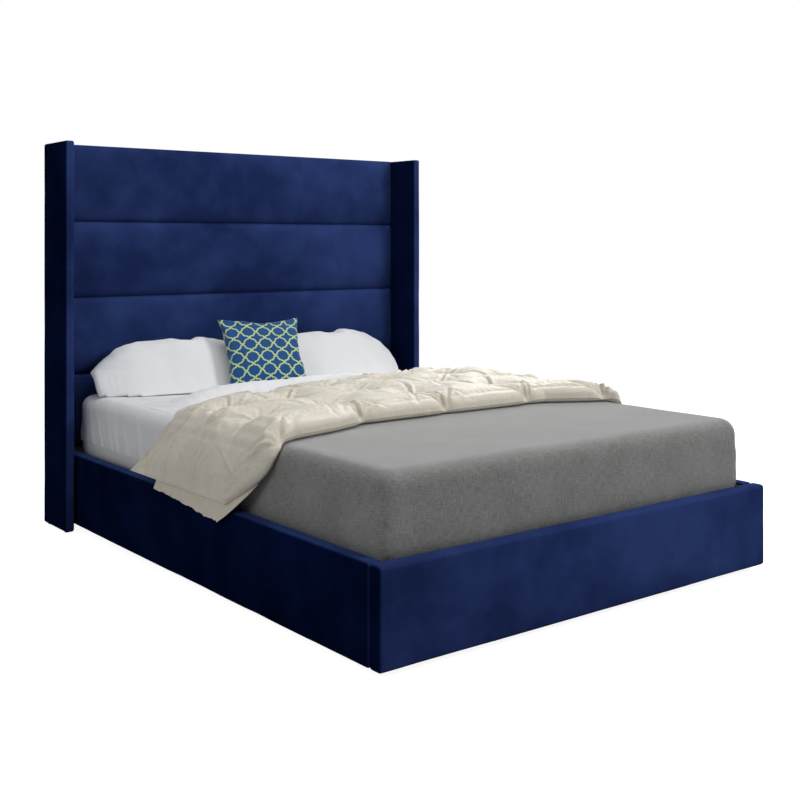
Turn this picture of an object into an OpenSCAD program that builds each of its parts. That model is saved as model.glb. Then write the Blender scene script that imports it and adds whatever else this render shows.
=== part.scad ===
// Upholstered wing-back storage bed with a lifting slatted platform and its bedding.
// X runs across the bed, +Y points to the headboard and +Z up. The origin is on the floor
// under the middle of the bed. All sizes are in millimetres.

/* [Mattress] */
// Width of the mattress
mattress_w = 1500; // [1400:10:1600]
// Length of the mattress
mattress_l = 1995; // [1950:5:2050]
// Thickness of the mattress
mattress_h = 245; // [200:5:280]
// Rounding of the mattress along its top and bottom edges
mattress_edge_r = 48; // [25:1:60]
// Rounding of the mattress's upright corners
mattress_corner_r = 60; // [30:1:80]

/* [Base] */
// Height of the rails' top above the floor
base_h = 290; // [280:5:330]
// Height of the base's underside above the floor
base_gap = 20; // [14:1:22]
// Thickness of an upholstered rail, board and padding together
rail_t = 50; // [40:1:60]
// Thickness of the timber board inside a rail
rail_board_t = 22; // [18:1:26]
// Padding over the top edge of a rail board
rail_top_pad = 8; // [5:1:12]
// Cover turned under a rail board
cover_t = 3; // [2:0.5:4]
// Rounding of the rails' padded edges
pad_edge_r = 10; // [6:1:14]
// Room between the mattress and each side rail
side_gap = 10; // [10:1:20]
// Room between the mattress and the foot panel
foot_gap = 9; // [9:1:20]
// Room between the mattress and the headboard's crown
head_gap = 17; // [15:1:30]
// Radius of a floor glide
glide_r = 11; // [8:1:12]

/* [Headboard] */
// Height of the headboard
headboard_h = 1490; // [1300:10:1600]
// Height of one stuffed channel
channel_pitch = 302.5; // [290:0.5:302.5]
// Rise of a channel's crown in front of its seams
channel_crown = 20; // [10:1:24]
// Padding behind the seams
channel_back_t = 14; // [8:1:20]
// Thickness of the plywood panel
panel_t = 11; // [9:1:15]
// Depth of the battens behind the panel
batten_d = 15; // [12:1:25]
// Width of a batten
batten_w = 50; // [40:1:70]
// Thickness of the back cover
back_cover_t = 3; // [2:0.5:4]

/* [Wings] */
// Thickness of a wing, padding included
wing_t = 36; // [30:1:45]
// Depth of a wing from the headboard's back to its front edge
wing_d = 224.5; // [180:0.5:260]
// Padding round a wing's board
wing_pad = 9; // [6:1:10]
// Room between a rail and a wing
wing_gap = 14; // [8:1:20]
// Height of a wing's floor glides
wing_glide_h = 4; // [2:1:8]
// Rounding of a wing's edges
wing_edge_r = 8; // [4:1:9]

/* [Platform] */
// Height and depth of the platform's steel tubes
tube_s = 30; // [25:1:30]
// Wall of the steel tubes
tube_wall = 1.5; // [1:0.25:2.5]
// Width of the middle tube
centre_tube_w = 60; // [50:1:80]
// Height of the side tubes' underside above the floor
tube_z = 205; // [205:1:210]
// Lane between a rail board and the platform, where the lift works
lift_lane = 40; // [40:1:50]
// Slats on each half of the platform
slats = 14; // [10:1:16]
// Width of a slat
slat_w = 53; // [40:1:60]
// Thickness of a slat
slat_t = 8; // [6:0.5:9]
// Rise of a slat's bow
slat_bow = 10.5; // [6:0.5:10.5]
// Height of the slat holders
holder_h = 18; // [17:0.5:20]

/* [Lift] */
// Distance from the rear arm's floor pivot to the mattress's head end
pivot_setback = 687; // [660:1:720]
// Height of the rear arm's floor pivot
pivot_z = 88; // [86:1:90]
// Length of the rear arm between pivots
rear_arm_l = 330; // [326:1:334]
// Rise of the rear arm when the platform is down
rest_angle = 18; // [17.5:0.1:18.5]
// Turn of the rear arm from down to up
lift_angle = 50; // [45:1:50]
// Front arm's floor pivot, ahead of the rear arm's
front_pivot_ahead = 126; // [125:0.5:127]
// Front arm's floor pivot, below the rear arm's
front_pivot_drop = 36; // [35:0.5:37]
// Front arm's upper pivot, ahead of the rear arm's
upper_pivot_ahead = 60; // [59:0.5:61]
// Front arm's upper pivot, below the rear arm's
upper_pivot_drop = 20; // [19:0.5:21]
// Strut's lower pivot, behind the rear arm's floor pivot
strut_foot_back = 213.7; // [212:0.1:215]
// Strut's lower pivot, below the rear arm's floor pivot
strut_foot_drop = 31.4; // [31:0.1:32]
// Strut's upper pivot, behind the rear arm's upper pivot
strut_head_back = 95.2; // [94:0.1:96]
// Strut's upper pivot, above the rear arm's upper pivot
strut_head_rise = 29.7; // [29:0.1:30.5]
// Width of an arm
arm_w = 26; // [22:1:26]
// Thickness of an arm
arm_t = 4; // [3:0.5:4]
// Radius of the pivot pins
pin_r = 5; // [4:0.5:6]
// Running clearance round a pivot pin
pin_clearance = 0.06; // [0.02:0.01:0.1]
// Clearance round the front arm's upper pin, which floats in its eye
float_clearance = 2.3; // [2.3:0.1:3]
// Radius of a strut's cylinder
strut_r = 9; // [8.5:0.5:9]
// Radius of a strut's rod
rod_r = 4; // [3:0.5:4]
// Length of a strut's rod below its eye's centre
rod_l = 176; // [170:1:180]
// Length of a strut's cylinder above its eye's centre
cylinder_l = 200; // [190:1:205]

/* [Bedding] */
// Thickness of the fitted sheet
sheet_t = 1.5; // [1:0.5:2]
// Thickness of the blanket
blanket_t = 4; // [3:0.5:6]
// Length of the blanket over the mattress
blanket_l = 1150; // [900:10:1400]
// Loft of the duvet between its tufts
duvet_loft = 58; // [40:1:90]
// Depth of a tuft
tuft_depth = 30; // [0:1:34]
// Distance from a tuft at which the duvet has risen again by about two thirds
tuft_r = 62; // [40:2:90]
// Length of a bed pillow
pillow_l = 730; // [600:5:760]
// Depth of a bed pillow
pillow_d = 405; // [350:5:440]
// Thickness of a bed pillow
pillow_t = 160; // [120:5:180]
// Side of the scatter cushion
cushion_s = 335; // [300:5:380]
// Thickness of the scatter cushion
cushion_t = 90; // [70:5:110]

/* [Hidden] */

$fn = 64;
LEFT = -1;
RIGHT = 1;
// Gap at which a soft or resting piece lies clear of its seat
seat = 0.3;
// Extra length of a cutting solid past the faces that it cuts
cut = 1;
// Number of stuffed channels
channels = 4;
// Turns of the platform, the front arm and the gas strut for one degree of the rear arm
tilt_ratio = 0.52;
front_ratio = 0.895;
strut_ratio = 0.9716;

// Lengthways stations, from the foot panel's outer face to the headboard's back
channel_d = channel_crown + channel_back_t;
bed_l = rail_t + foot_gap + mattress_l + head_gap + channel_d + panel_t + batten_d + back_cover_t;
foot_y = -bed_l / 2;
foot_inner_y = foot_y + rail_t;
mattress_foot_y = foot_inner_y + foot_gap;
mattress_head_y = mattress_foot_y + mattress_l;
crown_y = mattress_head_y + head_gap;
seam_y = crown_y + channel_crown;
panel_y = crown_y + channel_d;
batten_y = panel_y + panel_t;
back_cover_y = batten_y + batten_d;
back_y = foot_y + bed_l;

// Crossways stations, as half widths
inner_x = mattress_w / 2 + side_gap;
rail_x = inner_x + rail_t;
wing_x = rail_x + wing_gap;
bed_x = wing_x + wing_t;
tube_outer_x = inner_x - lift_lane;
tube_inner_x = tube_outer_x - tube_s;

// Heights
board_z = base_gap + cover_t;
board_top_z = base_h - rail_top_pad;
tube_top_z = tube_z + tube_s;
holder_seat = 5.5;
slat_z = tube_top_z + holder_seat;
mattress_z = slat_z + slat_t + slat_bow + seat;
mattress_top_z = mattress_z + mattress_h;
sheet_top_z = mattress_top_z + sheet_t;

// Storage floor
ledger_w = 24;
ledger_h = 9;
ledger_gap = 4;
// Gap where a cross ledger butts against a side ledger
ledger_play = 0.4;
ledger_z = board_z;
floor_z = ledger_z + ledger_h;
floor_t = 5;
floor_top_z = floor_z + floor_t;
head_board_t = 18;
head_board_y = panel_y - head_board_t;
foot_tube_gap = 17;
foot_tube_y = foot_inner_y + foot_tube_gap;
foot_block_w = 42;
foot_block_h = 20;
foot_block_l = 440;
foot_block_inset = 120;
foot_block_x = [inner_x - foot_block_inset - foot_block_l, inner_x - foot_block_inset];
buffer_h = 5;
buffer_r = 10;
buffer_inset = 50;
// Shift of a buffer from its tube's middle towards the foot board
buffer_foot_shift = 3;
buffer_z = tube_z - seat - buffer_h;
joiner_web = 2;
joiner_flange = 28;
joiner_flange_t = 1.5;
joiner_end_gap = 1;
centre_batten_w = 45;
centre_batten_z = 9;

// Lift geometry in the plane of [y, z]
rear_pivot = [mattress_head_y - pivot_setback, pivot_z];
front_pivot = rear_pivot - [front_pivot_ahead, front_pivot_drop];
strut_foot = rear_pivot + [strut_foot_back, -strut_foot_drop];

function turn(p, a) = [p[0] * cos(a) - p[1] * sin(a), p[0] * sin(a) + p[1] * cos(a)];
function upper_pivot(q) = rear_pivot + turn([rear_arm_l, 0], rest_angle + q);
function front_pin(q) = upper_pivot(q) + turn([-upper_pivot_ahead, -upper_pivot_drop], -tilt_ratio * q);
function strut_head(q) = upper_pivot(q) + turn([strut_head_back, strut_head_rise], -tilt_ratio * q);
function mid_range(values) = (min(values) + max(values)) / 2;

// The front arm's eye sits in the middle of its pin's path as the arm sees it
pin_path = [for (q = [0:lift_angle / 10:lift_angle]) turn(front_pin(q) - front_pivot, -front_ratio * q)];
front_eye = front_pivot + [mid_range([for (p = pin_path) p[0]]), mid_range([for (p = pin_path) p[1]])];
front_eye_r = pin_r + float_clearance;
// The strut lies on the steady turn that best follows the line between its pivots
strut_line = [for (q = [0:lift_angle / 10:lift_angle])
    let (v = strut_head(q) - strut_foot) atan2(v[1], v[0]) - strut_ratio * q];
strut_angle = mid_range(strut_line);

// Lanes of the lift across the bed, as half widths
plate_t = 2.5;
plate_x = inner_x - plate_t;
plate_room = 0.5;
bracket_t = 4;
bracket_x = tube_outer_x + bracket_t;
bracket_room = 1;
front_arm_x = bracket_x + bracket_room;
arm_room = 3.5;
rear_arm_x = front_arm_x + arm_t + arm_room;
strut_x = plate_x - plate_room - strut_r;
// Narrowing of an arm between its eyes
arm_waist = 4;
pin_head_r = 9;
pin_head_t = 2;
head_room = 0.3;
eye_w = 12;

module sided(side) {
    if (side == LEFT) mirror([1, 0, 0]) children();
    else children();
}

// Draws a [y, z] outline and gives it thickness along X, from x to x + t
module across(x, t) {
    translate([x, 0, 0])
        rotate([90, 0, 90])
            linear_extrude(t) children();
}

// Draws an [x, z] outline and gives it length along Y, from y to y + l
module along(y, l) {
    translate([0, y + l, 0])
        rotate([90, 0, 0])
            linear_extrude(l) children();
}

// Solid box between two corners
module box(low, high) {
    translate(low) cube(high - low);
}

// Cylinder along X from x to x + l, about the point p = [y, z]
module rod_x(x, l, p, r) {
    translate([x, p[0], p[1]]) rotate([0, 90, 0]) cylinder(h = l, r = r);
}

// Rectangle between two corners with rounded corners of radius r
module round_rect(low, high, r) {
    translate([low[0] + r, low[1]]) square([high[0] - low[0] - 2 * r, high[1] - low[1]]);
    translate([low[0], low[1] + r]) square([high[0] - low[0], high[1] - low[1] - 2 * r]);
    for (x = [low[0] + r, high[0] - r])
        for (y = [low[1] + r, high[1] - r])
            translate([x, y]) circle(r);
}

// Bar with round ends of width w between two points, narrower by waist between the ends
module bar_outline(a, b, w, waist = 0) {
    translate(a) circle(w / 2);
    translate(b) circle(w / 2);
    translate(a)
        rotate(atan2(b[1] - a[1], b[0] - a[0]))
            translate([0, (waist - w) / 2]) square([norm(b - a), w - waist]);
}

// Box tube along Y with open ends
module tube_y(x0, x1, y0, y1) {
    difference() {
        box([x0, y0, tube_z], [x1, y1, tube_top_z]);
        box([x0 + tube_wall, y0 - cut, tube_z + tube_wall],
            [x1 - tube_wall, y1 + cut, tube_top_z - tube_wall]);
    }
}

// Box tube along X with open ends
module tube_x(x0, x1, y0) {
    difference() {
        box([x0, y0, tube_z], [x1, y0 + tube_s, tube_top_z]);
        box([x0 - cut, y0 + tube_wall, tube_z + tube_wall],
            [x1 + cut, y0 + tube_s - tube_wall, tube_top_z - tube_wall]);
    }
}

// Headboard

// A channel bulges from its two seams to its crown
channel_fullness = 2.8;
channel_steps = 20;
function channel_front(t) = seam_y - channel_crown * (1 - pow(abs(2 * t - 1), channel_fullness));

// Side view of the channel between the seams at z0 and z1. The top channel also turns back
// over the headboard's top edge, wrap thick
module channel_outline(z0, z1, wrap) {
    polygon(concat(
        [for (i = [0:channel_steps]) [channel_front(i / channel_steps), z0 + (z1 - z0) * i / channel_steps]],
        wrap > 0 ? [[back_y, z1], [back_y, z1 - wrap], [panel_y, z1 - wrap]] : [[panel_y, z1]],
        [[panel_y, z0]]));
}

function seam_z(i) = headboard_h - i * channel_pitch;
top_wrap = 12;

module headboard_channel(i) {
    color("midnightblue")
        across(-wing_x, 2 * wing_x)
            channel_outline(i < channels ? seam_z(i) : base_h + seat, seam_z(i - 1), i == 1 ? top_wrap : 0);
}

module headboard_panel() {
    color("burlywood")
        difference() {
            box([-wing_x, panel_y, base_gap], [wing_x, batten_y, headboard_h - top_wrap]);
            headboard_bolt_holes();
        }
}

bolt_r = 4;
headboard_bolt_n = 4;
headboard_bolt_pitch = 360;
headboard_bolt_xs = [for (i = [0:headboard_bolt_n - 1])
    headboard_bolt_pitch * (i - (headboard_bolt_n - 1) / 2)];
headboard_bolt_z = 150;
// Height of the base above the lowest cross batten
low_batten_drop = 30;
low_batten_top = base_h - low_batten_drop;

module headboard_bolt_holes() {
    for (x = headboard_bolt_xs)
        translate([x, back_cover_y - cover_t, headboard_bolt_z])
            rotate([90, 0, 0]) cylinder(h = back_cover_y - head_board_y, r = bolt_r);
}

// Two uprights with cross battens between them, the lowest one wide enough to take the base's bolts
module headboard_battens() {
    top_z = headboard_h - top_wrap;
    middle_z = headboard_h / 2;
    color("tan")
        difference() {
            union() {
                for (side = [LEFT, RIGHT])
                    sided(side)
                        box([wing_x - batten_w, batten_y, base_gap], [wing_x, back_cover_y, top_z]);
                for (z = [[base_gap, low_batten_top], [middle_z, middle_z + batten_w],
                          [top_z - batten_w, top_z]])
                    box([batten_w - wing_x, batten_y, z[0]], [wing_x - batten_w, back_cover_y, z[1]]);
            }
            headboard_bolt_holes();
        }
}

module headboard_back_cover() {
    color("midnightblue")
        box([-wing_x, back_cover_y, base_gap], [wing_x, back_y, headboard_h - top_wrap]);
}

bolt_head_r = 8;
bolt_head_t = 4;

// Bolt whose head's seat is at the origin and whose shank points along +Y
module bolt(l) {
    rotate([-90, 0, 0]) {
        cylinder(h = l, r = bolt_r);
        translate([0, 0, -bolt_head_t]) cylinder(h = bolt_head_t, r = bolt_head_r);
    }
}

module headboard_bolts() {
    color("silver")
        for (x = headboard_bolt_xs)
            translate([x, head_board_y, headboard_bolt_z]) bolt(back_cover_y - cover_t - head_board_y);
}

// Wings

wing_front_y = back_y - wing_d;
wing_low = [wing_x, wing_front_y, wing_glide_h];
wing_high = [bed_x, back_y, headboard_h];

module wing_board(side) {
    color("burlywood")
        sided(side)
            box(wing_low + wing_pad * [1, 1, 1], wing_high - wing_pad * [1, 1, 1]);
}

module wing_cover(side) {
    color("midnightblue")
        sided(side)
            difference() {
                intersection() {
                    translate([0, 0, wing_low[2]])
                        linear_extrude(wing_high[2] - wing_low[2])
                            round_rect([wing_low[0], wing_low[1]], [wing_high[0], wing_high[1]], wing_edge_r);
                    along(wing_low[1], wing_d)
                        round_rect([wing_low[0], wing_low[2]], [wing_high[0], wing_high[2]], wing_edge_r);
                }
                box(wing_low + wing_pad * [1, 1, 1], wing_high - wing_pad * [1, 1, 1]);
            }
}

// Rails

bracket_leg = 60;
bracket_floor_gap = 10;
bracket_z = floor_top_z + bracket_floor_gap;
bracket_h = 140;
bracket_steel = 3;
bracket_bolt_inset = 35;
bracket_bolt_zs = [bracket_z + bracket_bolt_inset, bracket_z + bracket_h - bracket_bolt_inset];
bracket_bolt_l = 16;
// Face of each corner's cross board and the way that the base's inside lies from it
corners = [[foot_inner_y, 1], [head_board_y, -1]];

// Runs its children once at each bolt through a bracket leg on a side rail, along +X
module at_rail_bolts(side) {
    for (c = corners)
        for (z = bracket_bolt_zs)
            sided(side)
                translate([inner_x - bracket_steel, c[0] + c[1] * bracket_bolt_inset, z])
                    rotate([0, 0, -90]) children();
}

// Runs its children once at each bolt through a bracket leg on a cross board, along the board's normal
module at_cross_bolts() {
    for (c = corners)
        for (z = bracket_bolt_zs)
            for (side = [LEFT, RIGHT])
                sided(side)
                    translate([inner_x - bracket_bolt_inset, c[0] + c[1] * bracket_steel, z])
                        rotate([0, 0, c[1] > 0 ? 180 : 0]) children();
}

module bolt_hole() {
    translate([0, -cut, 0]) rotate([-90, 0, 0]) cylinder(h = bracket_bolt_l + cut, r = bolt_r);
}

module rail_outline() {
    difference() {
        union() {
            translate([rail_t / 2, base_gap + pad_edge_r])
                square([rail_t / 2, base_h - base_gap - 2 * pad_edge_r]);
            translate([0, base_gap]) square([rail_t - pad_edge_r, base_h - base_gap]);
            for (z = [base_gap + pad_edge_r, base_h - pad_edge_r])
                translate([rail_t - pad_edge_r, z]) circle(pad_edge_r);
        }
        translate([-cut, board_z]) square([rail_board_t + cut, board_top_z - board_z]);
    }
}

module rail_board(side) {
    color("burlywood")
        difference() {
            sided(side)
                box([inner_x, foot_inner_y, board_z], [inner_x + rail_board_t, panel_y, board_top_z]);
            at_rail_bolts(side) bolt_hole();
            sided(side) plate_screw_holes();
        }
}

module rail_cover(side) {
    color("midnightblue")
        sided(side)
            translate([inner_x, 0, 0]) along(foot_inner_y, panel_y - foot_inner_y) rail_outline();
}

foot_end_pad = 20;

module foot_board() {
    color("burlywood")
        difference() {
            box([foot_end_pad - rail_x, foot_inner_y - rail_board_t, board_z],
                [rail_x - foot_end_pad, foot_inner_y, board_top_z]);
            at_cross_bolts() bolt_hole();
        }
}

module foot_cover() {
    color("midnightblue")
        difference() {
            intersection() {
                translate([0, foot_inner_y, 0])
                    across(-rail_x, 2 * rail_x)
                        mirror([1, 0]) {
                            rail_outline();
                            translate([0, board_z]) square([rail_board_t + cut, board_top_z - board_z]);
                        }
                translate([0, 0, base_gap])
                    linear_extrude(base_h - base_gap)
                        union() {
                            round_rect([-rail_x, foot_y], [rail_x, foot_inner_y], pad_edge_r);
                            translate([-rail_x, foot_y + rail_t / 2]) square([2 * rail_x, rail_t / 2]);
                        }
            }
            box([foot_end_pad - rail_x, foot_inner_y - rail_board_t, board_z],
                [rail_x - foot_end_pad, foot_inner_y + cut, board_top_z]);
        }
}

head_board_h = 250;

module head_board() {
    color("burlywood")
        difference() {
            box([-inner_x, head_board_y, base_gap], [inner_x, panel_y, head_board_h]);
            at_cross_bolts() bolt_hole();
            headboard_bolt_holes();
        }
}

module corner_brackets() {
    color("silver")
        difference() {
            for (c = corners)
                for (side = [LEFT, RIGHT])
                    sided(side)
                        translate([inner_x, c[0], bracket_z])
                            mirror([0, c[1] > 0 ? 0 : 1, 0]) {
                                box([-bracket_leg, 0, 0], [0, bracket_steel, bracket_h]);
                                box([-bracket_steel, 0, 0], [0, bracket_leg, bracket_h]);
                            }
            for (side = [LEFT, RIGHT]) at_rail_bolts(side) bolt_hole();
            at_cross_bolts() bolt_hole();
        }
}

module bracket_bolts() {
    color("silver") {
        for (side = [LEFT, RIGHT]) at_rail_bolts(side) bolt(bracket_bolt_l);
        at_cross_bolts() bolt(bracket_bolt_l);
    }
}

// Glides stand under the ledgers, out of sight behind the covers
rail_glides = 4;
rail_glide_inset = 60;
rail_glide_pitch = (head_board_y - foot_inner_y - 2 * rail_glide_inset) / (rail_glides - 1);
wing_glide_inset = 30;
wing_glide_r = 10;
foot_glide_x = 370;
centre_glide_inset = 100;

module glides() {
    color("dimgray") {
        for (side = [LEFT, RIGHT])
            sided(side) {
                for (i = [0:rail_glides - 1])
                    translate([inner_x - ledger_w / 2,
                               foot_inner_y + rail_glide_inset + i * rail_glide_pitch, 0])
                        cylinder(h = ledger_z, r = glide_r);
                for (y = [wing_front_y + wing_glide_inset, back_y - wing_glide_inset])
                    translate([(wing_x + bed_x) / 2, y, 0]) cylinder(h = wing_glide_h, r = wing_glide_r);
                translate([foot_glide_x, foot_inner_y + ledger_w / 2, 0])
                    cylinder(h = ledger_z, r = glide_r);
            }
        for (y = [foot_inner_y + centre_glide_inset, 0, head_board_y - centre_glide_inset])
            translate([0, y, 0]) cylinder(h = centre_batten_z, r = glide_r);
    }
}

// Storage floor

// Ledgers that carry the floor panels' outer edges, a batten on glides under their middle edges
// and two blocks on the foot board that the closed platform rests on through rubber buffers
module base_battens() {
    color("tan") {
        for (side = [LEFT, RIGHT])
            sided(side) {
                box([inner_x - ledger_w, foot_inner_y, ledger_z], [inner_x, head_board_y, floor_z]);
                for (y = [foot_inner_y, head_board_y - ledger_w])
                    box([(centre_batten_w + ledger_gap) / 2, y, ledger_z],
                        [inner_x - ledger_w - ledger_play, y + ledger_w, floor_z]);
                box([foot_block_x[0], foot_inner_y, buffer_z - foot_block_h],
                    [foot_block_x[1], foot_inner_y + foot_block_w, buffer_z]);
            }
        box([-centre_batten_w / 2, foot_inner_y, centre_batten_z],
            [centre_batten_w / 2, head_board_y, floor_z]);
    }
}

module floor_panel(side) {
    color("gainsboro")
        sided(side)
            box([joiner_web / 2 + seat, foot_inner_y + seat, floor_z],
                [inner_x - seat, head_board_y - seat, floor_top_z]);
}

module floor_joiner() {
    color("white")
        along(foot_inner_y + joiner_end_gap, head_board_y - foot_inner_y - 2 * joiner_end_gap) {
            translate([-joiner_web / 2, floor_z]) square([joiner_web, floor_t]);
            translate([-joiner_flange / 2, floor_top_z]) square([joiner_flange, joiner_flange_t]);
        }
}

module rubber_buffers() {
    color("dimgray")
        for (side = [LEFT, RIGHT])
            for (x = [foot_block_x[0] + buffer_inset, foot_block_x[1] - buffer_inset])
                sided(side)
                    translate([x, foot_tube_y + tube_s / 2 - buffer_foot_shift, buffer_z])
                        cylinder(h = buffer_h, r = buffer_r);
}

// Lift, fixed parts

plate_margin = 28;
plate_rise = 40;
plate_corner_r = 12;
plate_z = [floor_top_z + 1, rear_pivot[1] + plate_rise];
plate_y = [front_pivot[0] - plate_margin, strut_foot[0] + plate_margin];
// Lightening holes ahead of the rear arm's pivot
plate_hole_at = [70, 135];
plate_hole_r = 16;
screw_r = 3;
screw_l = 14;
screw_head_r = 5.5;
screw_head_t = 2;
screw_inset = 12;
// Screws along the plate's top edge, the last one ahead of the strut's upright end of travel, and one
// in the middle of its bottom edge
screw_strut_room = 24;
plate_middle_y = (plate_y[0] + plate_y[1]) / 2;
plate_screw_at = concat(
    [for (y = [plate_y[0] + screw_inset, plate_middle_y, strut_foot[0] - screw_strut_room])
        [y, plate_z[1] - screw_inset]],
    [[plate_middle_y, plate_z[0] + screw_inset]]);

module plate_screw_holes() {
    for (p = plate_screw_at) rod_x(plate_x - cut, screw_l + plate_t + cut, p, screw_r);
}

module lift_plate(side) {
    color("dimgray")
        sided(side)
            difference() {
                across(plate_x, plate_t)
                    round_rect([plate_y[0], plate_z[0]], [plate_y[1], plate_z[1]], plate_corner_r);
                for (p = [rear_pivot, front_pivot, strut_foot])
                    rod_x(plate_x - cut, plate_t + 2 * cut, p, pin_r);
                for (y = plate_hole_at)
                    rod_x(plate_x - cut, plate_t + 2 * cut, rear_pivot + [y, 0], plate_hole_r);
                plate_screw_holes();
            }
}

module lift_plate_screws() {
    color("silver")
        for (side = [LEFT, RIGHT])
            sided(side)
                for (p = plate_screw_at) {
                    rod_x(plate_x, plate_t + screw_l, p, screw_r);
                    rod_x(plate_x - screw_head_t, screw_head_t, p, screw_head_r);
                }
}

// Pin that starts in the lift plate and carries a piece whose inner face is at x
module plate_pin(p, x) {
    rod_x(x - head_room, plate_x + plate_t - x + head_room, p, pin_r);
    rod_x(x - head_room - pin_head_t, pin_head_t, p, pin_head_r);
}

module lift_plate_pins() {
    color("silver")
        for (side = [LEFT, RIGHT])
            sided(side) {
                plate_pin(rear_pivot, rear_arm_x);
                plate_pin(front_pivot, front_arm_x);
                plate_pin(strut_foot, strut_x - eye_w / 2);
            }
}

// Lift, moving parts

module rear_arm(side) {
    eye = upper_pivot(0);
    color("dimgray")
        sided(side)
            difference() {
                across(rear_arm_x, arm_t) bar_outline(rear_pivot, eye, arm_w, arm_waist);
                for (p = [rear_pivot, eye])
                    rod_x(rear_arm_x - cut, arm_t + 2 * cut, p, pin_r + pin_clearance);
            }
}

module front_arm(side) {
    color("dimgray")
        sided(side)
            difference() {
                across(front_arm_x, arm_t) bar_outline(front_pivot, front_eye, arm_w, arm_waist);
                rod_x(front_arm_x - cut, arm_t + 2 * cut, front_pivot, pin_r + pin_clearance);
                rod_x(front_arm_x - cut, arm_t + 2 * cut, front_eye, front_eye_r);
            }
}

strut_bore_r = 6;
strut_bore_start = 24;
piston_r = 4.9;
piston_l = 14;
neck_l = 14;
neck_r = 5.5;

// Places a strut piece drawn along +Z from its eye at the origin
module on_strut(side, p, a) {
    translate([side * strut_x, p[0], p[1]]) rotate([a - 90, 0, 0]) children();
}

// Cylinder of length l along X, centred on the origin
module eye(l, r) {
    translate([-l / 2, 0, 0]) rotate([0, 90, 0]) cylinder(h = l, r = r);
}

module gas_cylinder(side) {
    color("#202020")
        on_strut(side, strut_foot, strut_angle)
            difference() {
                union() {
                    eye(eye_w, strut_r);
                    cylinder(h = neck_l, r = neck_r);
                    translate([0, 0, neck_l]) cylinder(h = cylinder_l - neck_l, r = strut_r);
                }
                eye(eye_w + 2 * cut, pin_r + pin_clearance);
                translate([0, 0, strut_bore_start])
                    cylinder(h = cylinder_l - strut_bore_start + cut, r = strut_bore_r);
            }
}

module gas_rod(side) {
    color("silver")
        on_strut(side, strut_head(0), strut_angle + 180)
            difference() {
                union() {
                    eye(eye_w, strut_r);
                    cylinder(h = neck_l, r = neck_r);
                    cylinder(h = rod_l, r = rod_r);
                    translate([0, 0, rod_l - piston_l]) cylinder(h = piston_l, r = piston_r);
                }
                eye(eye_w + 2 * cut, pin_r + pin_clearance);
            }
}

bracket_pin_at = [upper_pivot(0), front_pin(0), strut_head(0)];
bracket_lug_w = 32;
bracket_end = 30;
bracket_corner_r = 6;
bracket_web_overlap = 10;

module lift_bracket(side) {
    color("dimgray")
        sided(side)
            difference() {
                across(tube_outer_x, bracket_t) {
                    bar_outline(bracket_pin_at[1], bracket_pin_at[0], bracket_lug_w);
                    bar_outline(bracket_pin_at[0], bracket_pin_at[2], bracket_lug_w);
                    round_rect([bracket_pin_at[1][0] - bracket_end, tube_z],
                               [bracket_pin_at[2][0] + bracket_end, tube_top_z], bracket_corner_r);
                    translate([bracket_pin_at[1][0] - bracket_lug_w / 2, bracket_pin_at[1][1]])
                        square([bracket_pin_at[2][0] - bracket_pin_at[1][0],
                                tube_top_z - bracket_pin_at[1][1] - bracket_web_overlap]);
                }
                for (p = bracket_pin_at) rod_x(tube_outer_x - cut, bracket_t + 2 * cut, p, pin_r);
            }
}

// Pin that starts in the lift bracket and carries a piece whose outer face is at x
module bracket_pin(p, x) {
    rod_x(tube_outer_x, x - tube_outer_x + head_room, p, pin_r);
    rod_x(x + head_room, pin_head_t, p, pin_head_r);
}

module lift_bracket_pins() {
    color("silver")
        for (side = [LEFT, RIGHT])
            sided(side) {
                bracket_pin(bracket_pin_at[0], rear_arm_x + arm_t);
                bracket_pin(bracket_pin_at[1], front_arm_x + arm_t);
                bracket_pin(bracket_pin_at[2], strut_x + eye_w / 2);
            }
}

// Platform

platform_head_inset = 2;
platform_y = [foot_tube_y, mattress_head_y - platform_head_inset];

module platform_side_tube(side) {
    color("dimgray")
        sided(side) tube_y(tube_inner_x, tube_outer_x, platform_y[0], platform_y[1]);
}

module platform_cross_tube(y) {
    color("dimgray") tube_x(-tube_inner_x, tube_inner_x, y);
}

module platform_centre_tube() {
    color("dimgray")
        tube_y(-centre_tube_w / 2, centre_tube_w / 2, platform_y[0] + tube_s, platform_y[1] - tube_s);
}

holder_l = 40;
holder_wall = 4;
holder_top = 1.6;
holder_w = slat_w + 2 * holder_wall;
slat_x = [6, tube_outer_x - holder_wall];
slat_play = 0.3;
slat_first_y = platform_y[0] + tube_s + holder_w;
slat_pitch = (platform_y[1] - tube_s - holder_w - slat_first_y) / (slats - 1);
function slat_y(i) = slat_first_y + i * slat_pitch;

module slat_holders() {
    color("#303030")
        for (side = [LEFT, RIGHT])
            sided(side)
                for (i = [0:slats - 1])
                    for (end = [0, 1])
                        translate([end == 0 ? slat_x[0] : slat_x[1], slat_y(i), tube_top_z])
                            mirror([end, 0, 0])
                                difference() {
                                    box([-holder_wall, -holder_w / 2, 0],
                                        [holder_l - holder_wall, holder_w / 2, holder_h]);
                                    box([-slat_play, -slat_w / 2 - slat_play,
                                         slat_z - tube_top_z - slat_play],
                                        [holder_l, slat_w / 2 + slat_play, holder_h - holder_top]);
                                }
}

slat_steps = 12;
function bow(t) = slat_bow * (1 - pow(2 * t - 1, 2));

module slat_outline() {
    span = slat_x[1] - slat_x[0];
    polygon(concat(
        [for (i = [0:slat_steps]) [slat_x[0] + span * i / slat_steps, slat_z + bow(i / slat_steps)]],
        [for (i = [slat_steps:-1:0])
            [slat_x[0] + span * i / slat_steps, slat_z + slat_t + bow(i / slat_steps)]]));
}

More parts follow.
